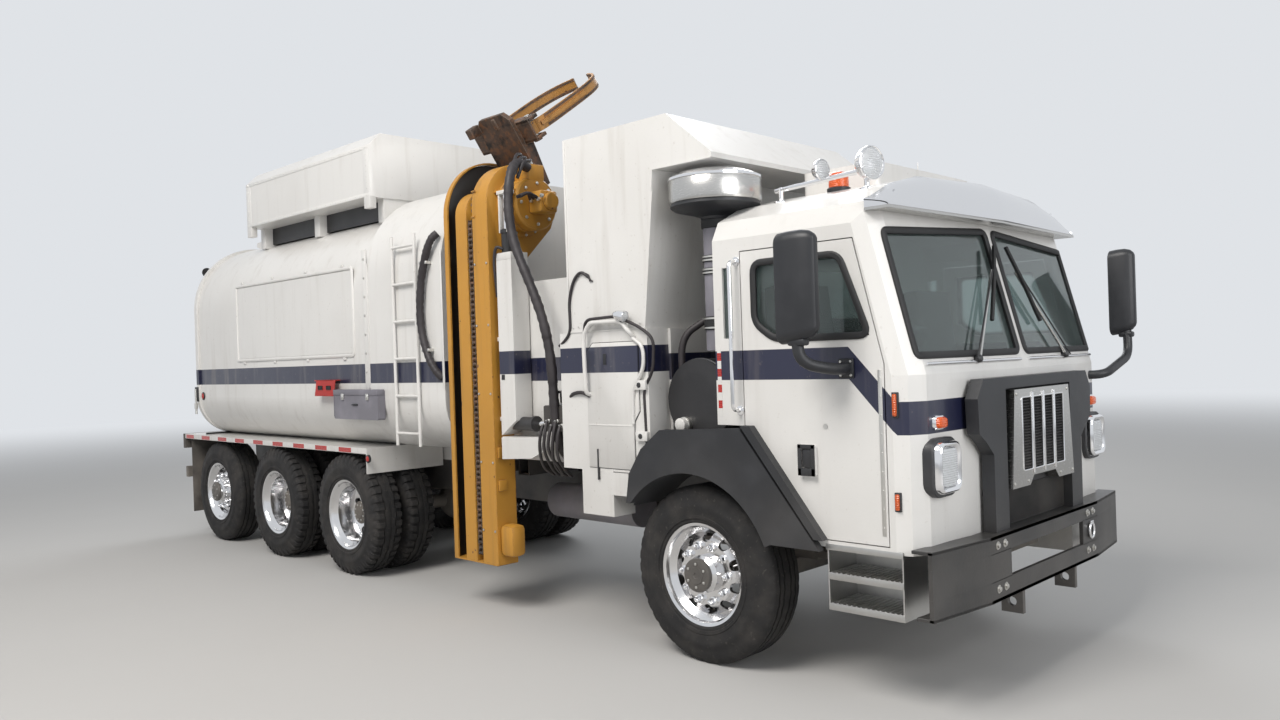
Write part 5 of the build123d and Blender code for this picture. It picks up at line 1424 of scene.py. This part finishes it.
piece = Piece("guide_housing", "lift_mast").use(lift_white)
low, high = (1.205, -1.190), (1.375, -1.040)
piece.loft([[(x, y, z + (0.0 if x < 1.3 else lift)) for x, y in
             ((low[0], low[1]), (high[0], low[1]), (high[0], high[1]), (low[0], high[1]))]
            for z, lift in ((1.300, 0.110), (2.606, 0.0))])
piece.box((low[0] - 0.002, low[1] - 0.002, 2.560), (high[0] + 0.002, high[1] + 0.002, 2.612), 0.003)
for z in (1.400, 1.980, 2.440):
    piece.box((1.149, -1.160, z), (1.208, -1.070, z + 0.030), 0.002)
piece.use(black_steel)
piece.box((1.225, -1.1925, 1.700), (1.262, -1.1895, 1.738), 0.001)
piece.turned((1.268, -1.140, 2.600), UP, [(0, 0.036), (0.150, 0.036), (0.156, 0.042),
                                          (0.180, 0.042), (0.186, 0.030)], 24)
piece.use(chrome).rod((1.268, -1.140, 2.780), (1.268, -1.140, 3.040), 0.016, 18)
piece.use(plain_white)
piece.box((1.205, -1.172, 3.036), (1.335, -1.108, 3.064), 0.004)
for x in (1.222, 1.308):
    piece.box((x - 0.007, -1.165, 2.760), (x + 0.007, -1.115, 3.050), 0.002)
piece.use(hose_rubber)
tube(piece, [(1.268, -1.175, 2.640), (1.225, -1.208, 2.665), (1.190, -1.200, 2.55),
             (1.180, -1.170, 2.30)], 0.011, 0.05, 10)
piece.done("white_paint", ["lift_guide"])

# %% Hose bundle
def bundle(piece, points, radius, bend):
    """A lumpy wrapped bundle of hoses: its thickness swells a little from ring to ring."""
    path = rounded(points, bend, 10)
    rings = along(path, round_profile(radius, 14))
    for k, loop in enumerate(rings):
        swell = 1 + 0.07 * math.sin(2.3 * k) + 0.04 * math.sin(0.7 * k)
        middle = path[k]
        rings[k] = [middle + (p - middle) * swell for p in loop]
    piece.loft(rings)


HOSE_TOP, HOSE_LOW = (1.330, -0.970, 3.235), (1.800, -1.075, 1.150)
piece = Piece("hose_bundle", ("lift_mast", "chassis")).use(hose_rubber)
bundle(piece, [HOSE_TOP, (1.350, -1.100, 3.270), (1.405, -1.205, 3.130), (1.415, -1.235, 2.900),
               (1.470, -1.235, 2.650), (1.620, -1.230, 2.380), (1.735, -1.215, 2.120),
               (1.790, -1.200, 1.850), (1.795, -1.190, 1.500), (1.800, -1.170, 1.270), HOSE_LOW],
       0.034, 0.30)
piece.done("black_plastic", span=(HOSE_TOP, HOSE_LOW))

piece = Piece("collar_hose", "chassis").use(hose_rubber)
bundle(piece, [(0.490, -1.200, 2.840), (0.450, -1.245, 2.790), (0.360, -1.250, 2.620),
               (0.300, -1.250, 2.400), (0.285, -1.250, 2.150), (0.360, -1.250, 1.930),
               (0.450, -1.245, 1.790), (0.500, -1.200, 1.720)], 0.030, 0.20)
piece.use(zinc)
for z in (2.620, 1.940):
    piece.box((0.310, -1.262, z - 0.012), (0.410, -1.205, z + 0.012), 0.003)
piece.done("black_plastic")

# %% [markdown]
# ## The body's side
# A blank panel fills the drum's flat side: a smooth sheet with one small moulding carried round it.
# A bolted seam post closes the drum against the collar, and red and white tape runs along the
# skirt's lower edge. Small lamps mark the corners.

# %% Panel, seam and tape
piece = Piece("side_panels", "chassis").use(plain_white)
PANEL_X, PANEL_Z = (-3.190, -0.840), (1.930, 2.690)
for sign in (-1, 1):
    face = sign * 1.190
    mould = [(-0.018, -0.002), (0.018, -0.002), (0.014, 0.010), (0.004, 0.014), (-0.004, 0.014),
             (-0.014, 0.010)]
    corners = [(x, face, z) for x, z in ((PANEL_X[0], PANEL_Z[0]), (PANEL_X[1], PANEL_Z[0]),
                                         (PANEL_X[1], PANEL_Z[1]), (PANEL_X[0], PANEL_Z[1]))]
    piece.hoop(soft_loop(corners, 0.02), mould, (0, sign, 0))
    piece.use(lift_white).box((PANEL_X[0] + 0.02, face, PANEL_Z[0] + 0.02),
                              (PANEL_X[1] - 0.02, face + sign * 0.003, PANEL_Z[1] - 0.02))
    piece.use(plain_white)
    for k in range(4):
        x = PANEL_X[0] + 0.16 + k * (PANEL_X[1] - PANEL_X[0] - 0.32) / 3
        for z in (PANEL_Z[0] - 0.028, PANEL_Z[1] + 0.028):
            piece.box((x - 0.022, face, z - 0.012), (x + 0.022, face + sign * 0.012, z + 0.012),
                      0.003)
    piece.box((-0.640, face, 1.560), (-0.580, sign * 1.2085, 2.820), 0.004)
    piece.use(zinc)
    for k in range(8):
        piece.bolt((-0.610, sign * 1.208, 1.62 + 0.16 * k), (0, sign, 0), 0.011, 0.006, 0.007,
                   0.008)
piece.done("white_paint")

SKIRT_FACE = 1.220
piece = Piece("skirt_tape", "chassis")
# the red blocks take the red lens finish, whose faint glow is painted light: the tape is no lamp
for sign in (-1, 1):
    for k in range(18):
        x = -4.570 + 0.216 * k
        piece.use(red_lens if k % 2 == 0 else plain_white)
        piece.box((x, sign * SKIRT_FACE, 1.084), (x + 0.216, sign * (SKIRT_FACE + 0.0015), 1.124))
for k in range(9):
    piece.use(red_lens if k % 2 == 0 else plain_white)
    piece.box((-4.6015, -0.972 + 0.216 * k, 1.084), (-4.600, -0.756 + 0.216 * k, 1.124))
piece.done("lamp_lens")

# %% Marker lamps and fittings
def marker(piece, centre, axis, radius=0.030):
    """A round marker lamp: black rubber ring and red dome."""
    piece.use(seal_rubber).turned(centre, axis,
                                  [(-0.006, radius + 0.008), (0.008, radius + 0.008),
                                   (0.011, radius + 0.002)], 24)
    piece.use(red_lens).turned(centre, axis, [(0.004, radius), (0.013, radius * 0.9),
                                              (0.018, radius * 0.55), (0.020, 0)], 24, caps=False)


piece = Piece("marker_lamps", "chassis")
for sign in (-1, 1):
    marker(piece, (0.350, sign * 1.210, 2.700), (0, sign, 0))
    marker(piece, (-0.613, sign * 1.220, 1.043), (0, sign, 0), 0.026)
    marker(piece, (-4.120, sign * 1.190, 1.560), (0, sign, 0), 0.034)
for y in (-0.14, 0.0, 0.14):
    marker(piece, (-4.602, y, 1.035), BACK, 0.022)
piece.done("lamp_lens")

piece = Piece("chock_holder", "chassis").use(chock_red)
for sign in (-1, 1):
    y_low, y_high = sign * 1.190, sign * 1.262
    for z in (1.575, 1.710):
        piece.box((-1.440, y_low, z), (-1.100, y_high, z + 0.008), 0.002)
    piece.slab([(-1.440, 1.575), (-1.100, 1.575), (-1.060, 1.718), (-1.400, 1.718)], y_high,
               y_high - sign * 0.006)
    piece.use(seal_rubber)
    for x in (-1.330, -1.180):
        piece.box((x - 0.040, y_high, 1.632), (x + 0.040, y_high + sign * 0.0012, 1.668), 0.006)
    piece.use(chock_red)
piece.done("dark_steel")

piece = Piece("tool_box_trim", "chassis").use(box_grey)
piece.box((-1.064, -1.286, 1.584), (-0.326, -1.216, 1.634), 0.006)
piece.box((-1.060, -1.284, 1.400), (-1.046, -1.280, 1.580), 0.002)
piece.use(zinc)
for x in (-0.900, -0.490):
    piece.box((x - 0.020, -1.292, 1.545), (x + 0.020, -1.280, 1.600), 0.004)
    piece.box((x - 0.010, -1.296, 1.560), (x + 0.010, -1.290, 1.592), 0.003)
piece.use(black_plastic).box((-0.740, -1.292, 1.500), (-0.650, -1.279, 1.514), 0.004)
piece.done("grey_trim")

# %% [markdown]
# ## Gas pod on the roof
# The fuel tanks lie under a white pod on the drum's crown. A black block fills the gap between pod
# and drum as painted shade, with saddles in it. Sheet panels are riveted to corner posts, and the
# long edges are folded.

# %% Gas pod
POD_X = (-3.300, -0.815)
piece = Piece("gas_pod_cover", "chassis").use(plain_white)
section = [(-1.0, 3.330), (-1.0, 3.780), (-0.880, 3.895), (0.880, 3.895), (1.0, 3.780),
           (1.0, 3.330), (0.93, 3.320), (-0.93, 3.320)]
edge = 0.006
inner = [(y * 0.992, 3.33 + (z - 3.33) * 0.985) for y, z in section]
piece.loft([[(x, y, z) for y, z in loop]
            for x, loop in ((POD_X[0], inner), (POD_X[0] + edge, section),
                            (POD_X[1] - edge, section), (POD_X[1], inner))])
for sign in (-1, 1):
    for x in (POD_X[0] + 0.002, POD_X[1] - 0.102):
        piece.box((x, sign * 0.940, 3.225), (x + 0.100, sign * 1.003, 3.776), 0.004)
    for low, high in ((3.328, 3.360), (3.748, 3.782)):
        piece.box((POD_X[0] + 0.004, sign * 0.990, low), (POD_X[1] - 0.004, sign * 1.004, high),
                  0.003)
    piece.use(zinc)
    for k in range(27):
        x = POD_X[0] + 0.05 + 0.0915 * k
        for z in (3.344, 3.765):
            piece.turned((x, sign * 1.0035, z), (0, sign, 0), [(0, 0.006), (0.003, 0.004)], 6)
    for x in (POD_X[0] + 0.052, POD_X[1] - 0.052):
        for k in range(7):
            piece.turned((x, sign * 1.0025, 3.40 + 0.05 * k), (0, sign, 0),
                         [(0, 0.006), (0.003, 0.004)], 6)
    piece.use(plain_white)
# painted shade: a black block in the gap under the pod stands in for the shadow between pod and
# drum
piece.use(black_steel)
piece.box((POD_X[0] + 0.12, -0.780, 3.150), (POD_X[1] - 0.12, 0.780, 3.325))
piece.use(plain_white)
for x in (POD_X[0] + 0.06, -2.060, POD_X[1] - 0.06):
    piece.box((x - 0.05, -0.860, 3.110), (x + 0.05, 0.860, 3.325), 0.004)
piece.done("white_paint", ["gas_pod"])

# %% [markdown]
# ## Cabinet, hood and pump side
# The hydraulic cabinet has a white grab tube with a work lamp on it, a door with a seam and three
# latches, and a conduit down its front edge. Between cabinet and column lie a shelf, a cylinder
# and valves with their hoses.

# %% Cabinet side
piece = Piece("cabinet_tubes", "chassis").use(plain_white)
tube(piece, [(2.200, -1.218, 1.600), (2.195, -1.262, 1.610), (2.190, -1.264, 1.980),
             (2.250, -1.264, 2.062), (2.540, -1.264, 2.060), (2.600, -1.262, 1.990),
             (2.610, -1.218, 1.960)], 0.014, 0.045)
tube(piece, [(2.610, -1.235, 1.950), (2.700, -1.238, 1.900), (2.700, -1.238, 1.760),
             (2.600, -1.238, 1.640), (2.590, -1.235, 1.420)], 0.012, 0.06)
piece.use(hose_rubber)
tube(piece, [(2.185, -1.250, 2.000), (2.205, -1.255, 2.084), (2.500, -1.255, 2.092),
             (2.700, -1.250, 2.010), (2.790, -1.235, 1.940), (2.765, -1.225, 1.740),
             (2.680, -1.222, 1.640), (2.690, -1.220, 1.300)], 0.010, 0.06, 10)
tube(piece, [(2.211, -1.222, 2.361), (2.150, -1.232, 2.405), (2.075, -1.232, 2.350),
             (2.022, -1.228, 2.217), (2.026, -1.226, 2.012), (1.960, -1.224, 1.950),
             (1.882, -1.200, 1.925)], 0.010, 0.06, 10)
for k in range(3):
    tube(piece, [(2.190, -1.224, 2.385), (2.225, -1.230, 2.372 - 0.012 * k),
                 (2.230 + 0.012 * k, -1.226, 2.330)], 0.005, 0.02, 8)
piece.use(plain_white)
for z in (1.660, 1.345, 1.160):
    piece.box((2.615, -1.246, z - 0.030), (2.715, -1.219, z + 0.030), 0.005)
    piece.use(black_steel).bolt((2.660, -1.246, z), RIGHT, 0.016, 0.004, 0.010, 0.006, 16)
    piece.use(plain_white)
round_lamp(piece, (2.500, -1.285, 2.105), (2.585, -1.272, 2.085), 0.036, clear_lens)
piece.use(black_steel)
piece.box((2.525, -1.276, 2.050), (2.560, -1.252, 2.085), 0.004)
piece.done("white_paint")

piece = Piece("cabinet_door", "chassis").use(lift_white)
door = [(2.170, 1.130), (2.590, 1.130), (2.590, 1.430), (2.640, 1.500), (2.640, 1.930),
        (2.230, 1.930), (2.170, 1.870)]
middle = Vector((2.40, 0, 1.53))
inside = [(middle.x + (x - middle.x) * 0.985, middle.z + (z - middle.z) * 0.985) for x, z in door]
piece.loft([[(x, y, z) for x, z in loop]
            for y, loop in ((-1.2195, door), (-1.2245, door), (-1.2285, inside))])
piece.use(seal_rubber)
grown = [(x + (0.004 if x > 2.4 else -0.004), z + (0.004 if z > 1.5 else -0.004)) for x, z in door]
piece.slab(grown, -1.2190, -1.2215)
piece.use(plain_white)
piece.box((2.180, -1.2315, 1.400), (2.585, -1.2275, 1.410), 0.002)
piece.use(black_plastic)
piece.box((2.330, -1.2305, 1.790), (2.360, -1.2275, 1.860), 0.002)
piece.box((2.250, -1.234, 1.050), (2.262, -1.2195, 1.250), 0.003)
piece.use(plain_white)
piece.slab([(2.300, 1.105), (2.300, 1.010), (2.360, 0.960), (2.520, 0.960), (2.520, 1.105)], -1.215,
           -1.223)
piece.done("white_paint")

piece = Piece("pump_shelf", "chassis").use(plain_white)
piece.slab([(1.220, 1.285), (1.790, 1.310), (1.790, 1.250), (1.550, 1.150), (1.220, 1.130)], -1.205,
           -1.190)
piece.box((1.220, -1.200, 1.278), (1.790, -1.040, 1.292), 0.003)
piece.use(black_steel)
piece.turned((1.190, -1.120, 1.385), AHEAD, [(0, 0.030), (0.004, 0.048), (0.300, 0.048),
                                             (0.304, 0.056), (0.330, 0.056)], 24)
piece.use(chrome).rod((1.520, -1.120, 1.385), (1.680, -1.120, 1.400), 0.018, 16)
piece.use(cast_iron)
piece.box((1.660, -1.180, 1.340), (1.900, -1.040, 1.520), 0.012)
piece.use(zinc)
for k in range(5):
    x = 1.690 + 0.045 * k
    piece.turned((x, -1.178, 1.385 + 0.03 * (k % 2)), RIGHT,
                 [(0, 0.016), (0.020, 0.016), (0.023, 0.011), (0.040, 0.011)], 6)
    piece.bolt((x, -1.110, 1.518), UP, 0.014, 0.018, 0.009, 0.020)
piece.use(hose_rubber)
for k in range(5):
    x = 1.690 + 0.045 * k
    tube(piece, [(x, -1.210, 1.385 + 0.03 * (k % 2)), (x + 0.004, -1.238, 1.330),
                 (x - 0.030, -1.225, 1.220 - 0.01 * k), (x - 0.080 + 0.05 * (k % 3), -1.150, 1.080),
                 (x - 0.12, -1.020, 1.020)], 0.011, 0.08, 10)
for k in range(3):
    tube(piece, [(1.720 + 0.06 * k, -1.110, 1.536), (1.740 + 0.06 * k, -1.130, 1.600 + 0.01 * k),
                 (1.840 + 0.03 * k, -1.170, 1.620), (1.915, -1.140, 1.560 - 0.03 * k)], 0.010, 0.05,
         10)
tube(piece, [(1.900, -1.120, 1.480), (2.000, -1.225, 1.600), (2.120, -1.232, 1.618),
             (2.195, -1.228, 1.590)], 0.012, 0.06)
piece.done("frame_black")

# %% [markdown]
# ## Sun visor
# A bright stainless visor hangs over the windshield, pointed in the middle. Its section is a curve
# from the roof's front edge out and down to the lip, and the curve changes from the middle of the
# cab to its corners. Loft stations across the cab carry it, and a small plate closes each end.

# %% Sun visor
VISOR = ((1.190, 4.238, 2.592, 4.380), (1.100, 4.252, 2.632, 4.386), (0.960, 4.252, 2.695, 4.392),
         (0.660, 4.246, 2.764, 4.408), (0.300, 4.250, 2.778, 4.426), (0.020, 4.254, 2.790, 4.440))
piece = Piece("sun_visor", "chassis").use(polished)
stations = [(-y, *rest) for y, *rest in VISOR] + list(reversed(VISOR))
rings = []
for y, back, top, lip in stations:
    start, end = Vector((back, y, top)), Vector((lip, y, 2.551))
    bend = Vector((lip - 0.006, y, top - 0.020))
    curve = [start * (1 - t) ** 2 + bend * 2 * t * (1 - t) + end * t * t
             for t in (k / 10 for k in range(11))]
    rings.append(curve + [p + Vector((-0.004, 0, -0.004)) for p in reversed(curve)])
piece.loft(rings)
for sign in (-1, 1):
    piece.slab([(4.240, 2.550), (4.378, 2.550), (4.372, 2.570), (4.240, 2.600)], sign * 1.186,
               sign * 1.190)
    for y in (0.25, 0.65, 1.0):
        piece.turned((4.310, sign * y, 2.742 - 0.06 * (y > 0.9)), (0.35, 0, 1),
                     [(0, 0.008), (0.006, 0.005)], 8)
piece.done("stainless")

# %% [markdown]
# ## Air cleaner
# The air cleaner is one turned form on the engine's intake: a stainless drum with a chrome dome, a
# black taper under it, and a grey pipe with black rubber sleeves held by clamps.

# %% Air cleaner
AIR = (3.110, -1.000, 0.0)
piece = Piece("air_intake", "chassis").use(stainless)
piece.turned(AIR, UP, [(2.730, 0.262), (2.736, 0.276), (2.750, 0.280), (2.868, 0.280),
                       (2.874, 0.276)], 48, caps=False)
piece.use(chrome)
piece.turned(AIR, UP, [(2.868, 0.270), (2.870, 0.2845), (2.884, 0.2845), (2.892, 0.272),
                       (2.912, 0.235), (2.932, 0.160), (2.944, 0.070), (2.9475, 0.020),
                       (2.9480, 0.0)], 48, caps=False)
piece.use(black_plastic)
piece.turned(AIR, UP, [(2.734, 0.268), (2.716, 0.270), (2.700, 0.250), (2.672, 0.140),
                       (2.655, 0.092), (2.640, 0.086)], 48, caps=False)
piece.use(box_grey)
piece.turned(AIR, UP, [(2.660, 0.078), (1.857, 0.078)], 32)
piece.use(seal_rubber)
for low, high in ((2.585, 2.640), (2.385, 2.425), (2.310, 2.350), (1.980, 2.060)):
    piece.turned(AIR, UP, [(low, 0.079), (low + 0.004, 0.088), (high - 0.004, 0.088),
                           (high, 0.079)], 32, caps=False)
piece.use(zinc)
for z in (2.395, 2.415, 2.320, 2.340, 1.992, 2.048):
    piece.turned(AIR, UP, [(z - 0.005, 0.0885), (z - 0.005, 0.0905), (z + 0.005, 0.0905),
                           (z + 0.005, 0.0885)], 32, caps=False)
piece.done("stainless", ["air_cleaner"])

# %% [markdown]
# ## Cooling fan, valves and the hood's seams
# A ribbed black fan housing shows behind the cab over the wheel. Next to it sits a pump with a
# white cap. The hood's big sheets get their welded seams and edge angles.

# %% Fan and hood seams
piece = Piece("fan_housing", "chassis").use(black_plastic)
FAN_X, FAN_Z = 3.000, 1.560
piece.turned((FAN_X, -0.890, FAN_Z), RIGHT, [(0.000, 0.235), (0.150, 0.240), (0.156, 0.256),
                                             (0.172, 0.256), (0.178, 0.246), (0.186, 0.214),
                                             (0.150, 0.206), (0.146, 0.120)], 44)
for spot in ring((FAN_X, -1.050, FAN_Z), RIGHT, 0.150, 22):
    inner_end, outer_end = ((FAN_X + (spot.x - FAN_X) * far, -1.052, FAN_Z + (spot.z - FAN_Z) * far)
                            for far in (0.45, 1.40))
    piece.rod(inner_end, outer_end, 0.006, 6)
piece.turned((FAN_X, -1.030, FAN_Z), RIGHT, [(0, 0.070), (0.026, 0.070), (0.034, 0.058),
                                             (0.036, 0.020)], 24)
piece.use(zinc)
piece.turned((2.900, -1.000, 1.415), RIGHT, [(0, 0.055), (0.060, 0.055), (0.066, 0.046),
                                             (0.110, 0.046)], 24)
piece.use(plain_white)
piece.bolt((2.900, -1.108, 1.415), RIGHT, 0.040, 0.040, 0.030, 0.046, 20)
piece.use(hose_rubber)
tube(piece, [(2.960, -1.040, 1.430), (3.060, -1.060, 1.440), (3.150, -1.040, 1.380),
             (3.180, -0.960, 1.250)], 0.024, 0.10)
tube(piece, [(2.880, -0.960, 1.470), (2.850, -1.060, 1.700), (2.860, -1.060, 1.950),
             (2.960, -0.960, 2.040)], 0.022, 0.12)
piece.done("black_plastic")

piece = Piece("hood_seams", "chassis").use(plain_white)
piece.box((2.000, -1.2245, 2.003), (2.712, -1.2195, 2.016), 0.002)
piece.box((2.004, -1.2265, 2.010), (2.020, -1.2195, 3.270), 0.002)
piece.slab([(2.800, 2.842), (2.812, 2.960), (3.270, 2.960), (3.270, 2.972), (2.802, 2.972),
            (2.790, 2.846)], -1.2195, -1.2255)
for x in (2.25, 2.75, 3.25):
    piece.rod((x, 1.2195, 2.10), (x, 1.2195, 3.22), 0.004, 6)
for sign in (-1, 1):
    for x in (-0.562, 0.532):
        piece.box((x - 0.014, sign * 1.2085, 1.640), (x + 0.014, sign * 1.2155, 2.700), 0.003)
piece.use(zinc)
for k in range(12):
    piece.turned((2.050 + 0.056 * k, -1.2245, 2.040), RIGHT, [(0, 0.006), (0.003, 0.004)], 6)
piece.done("white_paint")

# %% [markdown]
# ## Rear end
# The tailgate carries three pressed ribs, two upright bars, a rubber seal and a pair of turnbuckle
# locks, with two round lamps near its top on each side. The rear bar has a box of three lamps on
# each side, and a blank plate with its light between them.

# %% Rear end
GATE_FACE = -4.488
piece = Piece("tailgate_ribs", "tailgate").use(body_white)
for z in (1.700, 2.250, 2.800):
    piece.slab([(GATE_FACE, z - 0.060), (-4.512, z - 0.035), (-4.512, z + 0.035),
                (GATE_FACE, z + 0.060)], -0.900, 0.900)
piece.use(plain_white)
for sign in (-1, 1):
    piece.box((-4.520, sign * 0.62 - 0.020, 1.420), (GATE_FACE, sign * 0.62 + 0.020, 3.020), 0.004)
piece.use(black_steel)
for sign in (-1, 1):
    piece.box((-4.300, sign * 1.190, 1.50), (-4.200, sign * 1.216, 1.66), 0.006)
    piece.use(zinc).rod((-4.250, sign * 1.224, 1.360), (-4.250, sign * 1.224, 1.640), 0.012, 10)
    piece.turned((-4.250, sign * 1.224, 1.420), UP, [(0, 0.020), (0.060, 0.020)], 6)
    piece.use(black_steel)
piece.use(seal_rubber)
piece.box((-4.196, -1.150, 1.125), (-4.188, 1.150, 1.150), 0.002)
piece.use(black_plastic).box((-4.530, -0.080, 1.500), (GATE_FACE, 0.080, 1.560), 0.006)
piece.done("white_paint")

piece = Piece("tailgate_lamps", "tailgate")
for sign in (-1, 1):
    marker(piece, (GATE_FACE, sign * 0.960, 2.960), BACK, 0.045)
    marker(piece, (GATE_FACE, sign * 0.960, 2.830), BACK, 0.045)
piece.done("lamp_lens")

piece = Piece("rear_lamps", "chassis")
for sign in (-1, 1):
    piece.use(black_steel)
    piece.box((-4.630, sign * 0.600, 0.930), (-4.600, sign * 1.120, 1.070), 0.006)
    for k, thing in enumerate((red_lens, red_lens, amber_lens)):
        y = sign * (0.690 + 0.170 * k)
        piece.use(seal_rubber).bolt((-4.629, y, 1.000), BACK, 0.062, 0.010, 0.054, 0.013, 28)
        piece.use(thing).turned((-4.636, y, 1.000), BACK,
                                [(0, 0.053), (0.008, 0.050), (0.014, 0.030), (0.016, 0)], 28,
                                caps=False)
piece.use(grey_trim).box((-4.626, -0.170, 0.930), (-4.600, 0.170, 1.030), 0.004)
piece.use(clear_lens).box((-4.636, -0.030, 1.034), (-4.600, 0.030, 1.050), 0.004)
piece.done("lamp_lens")
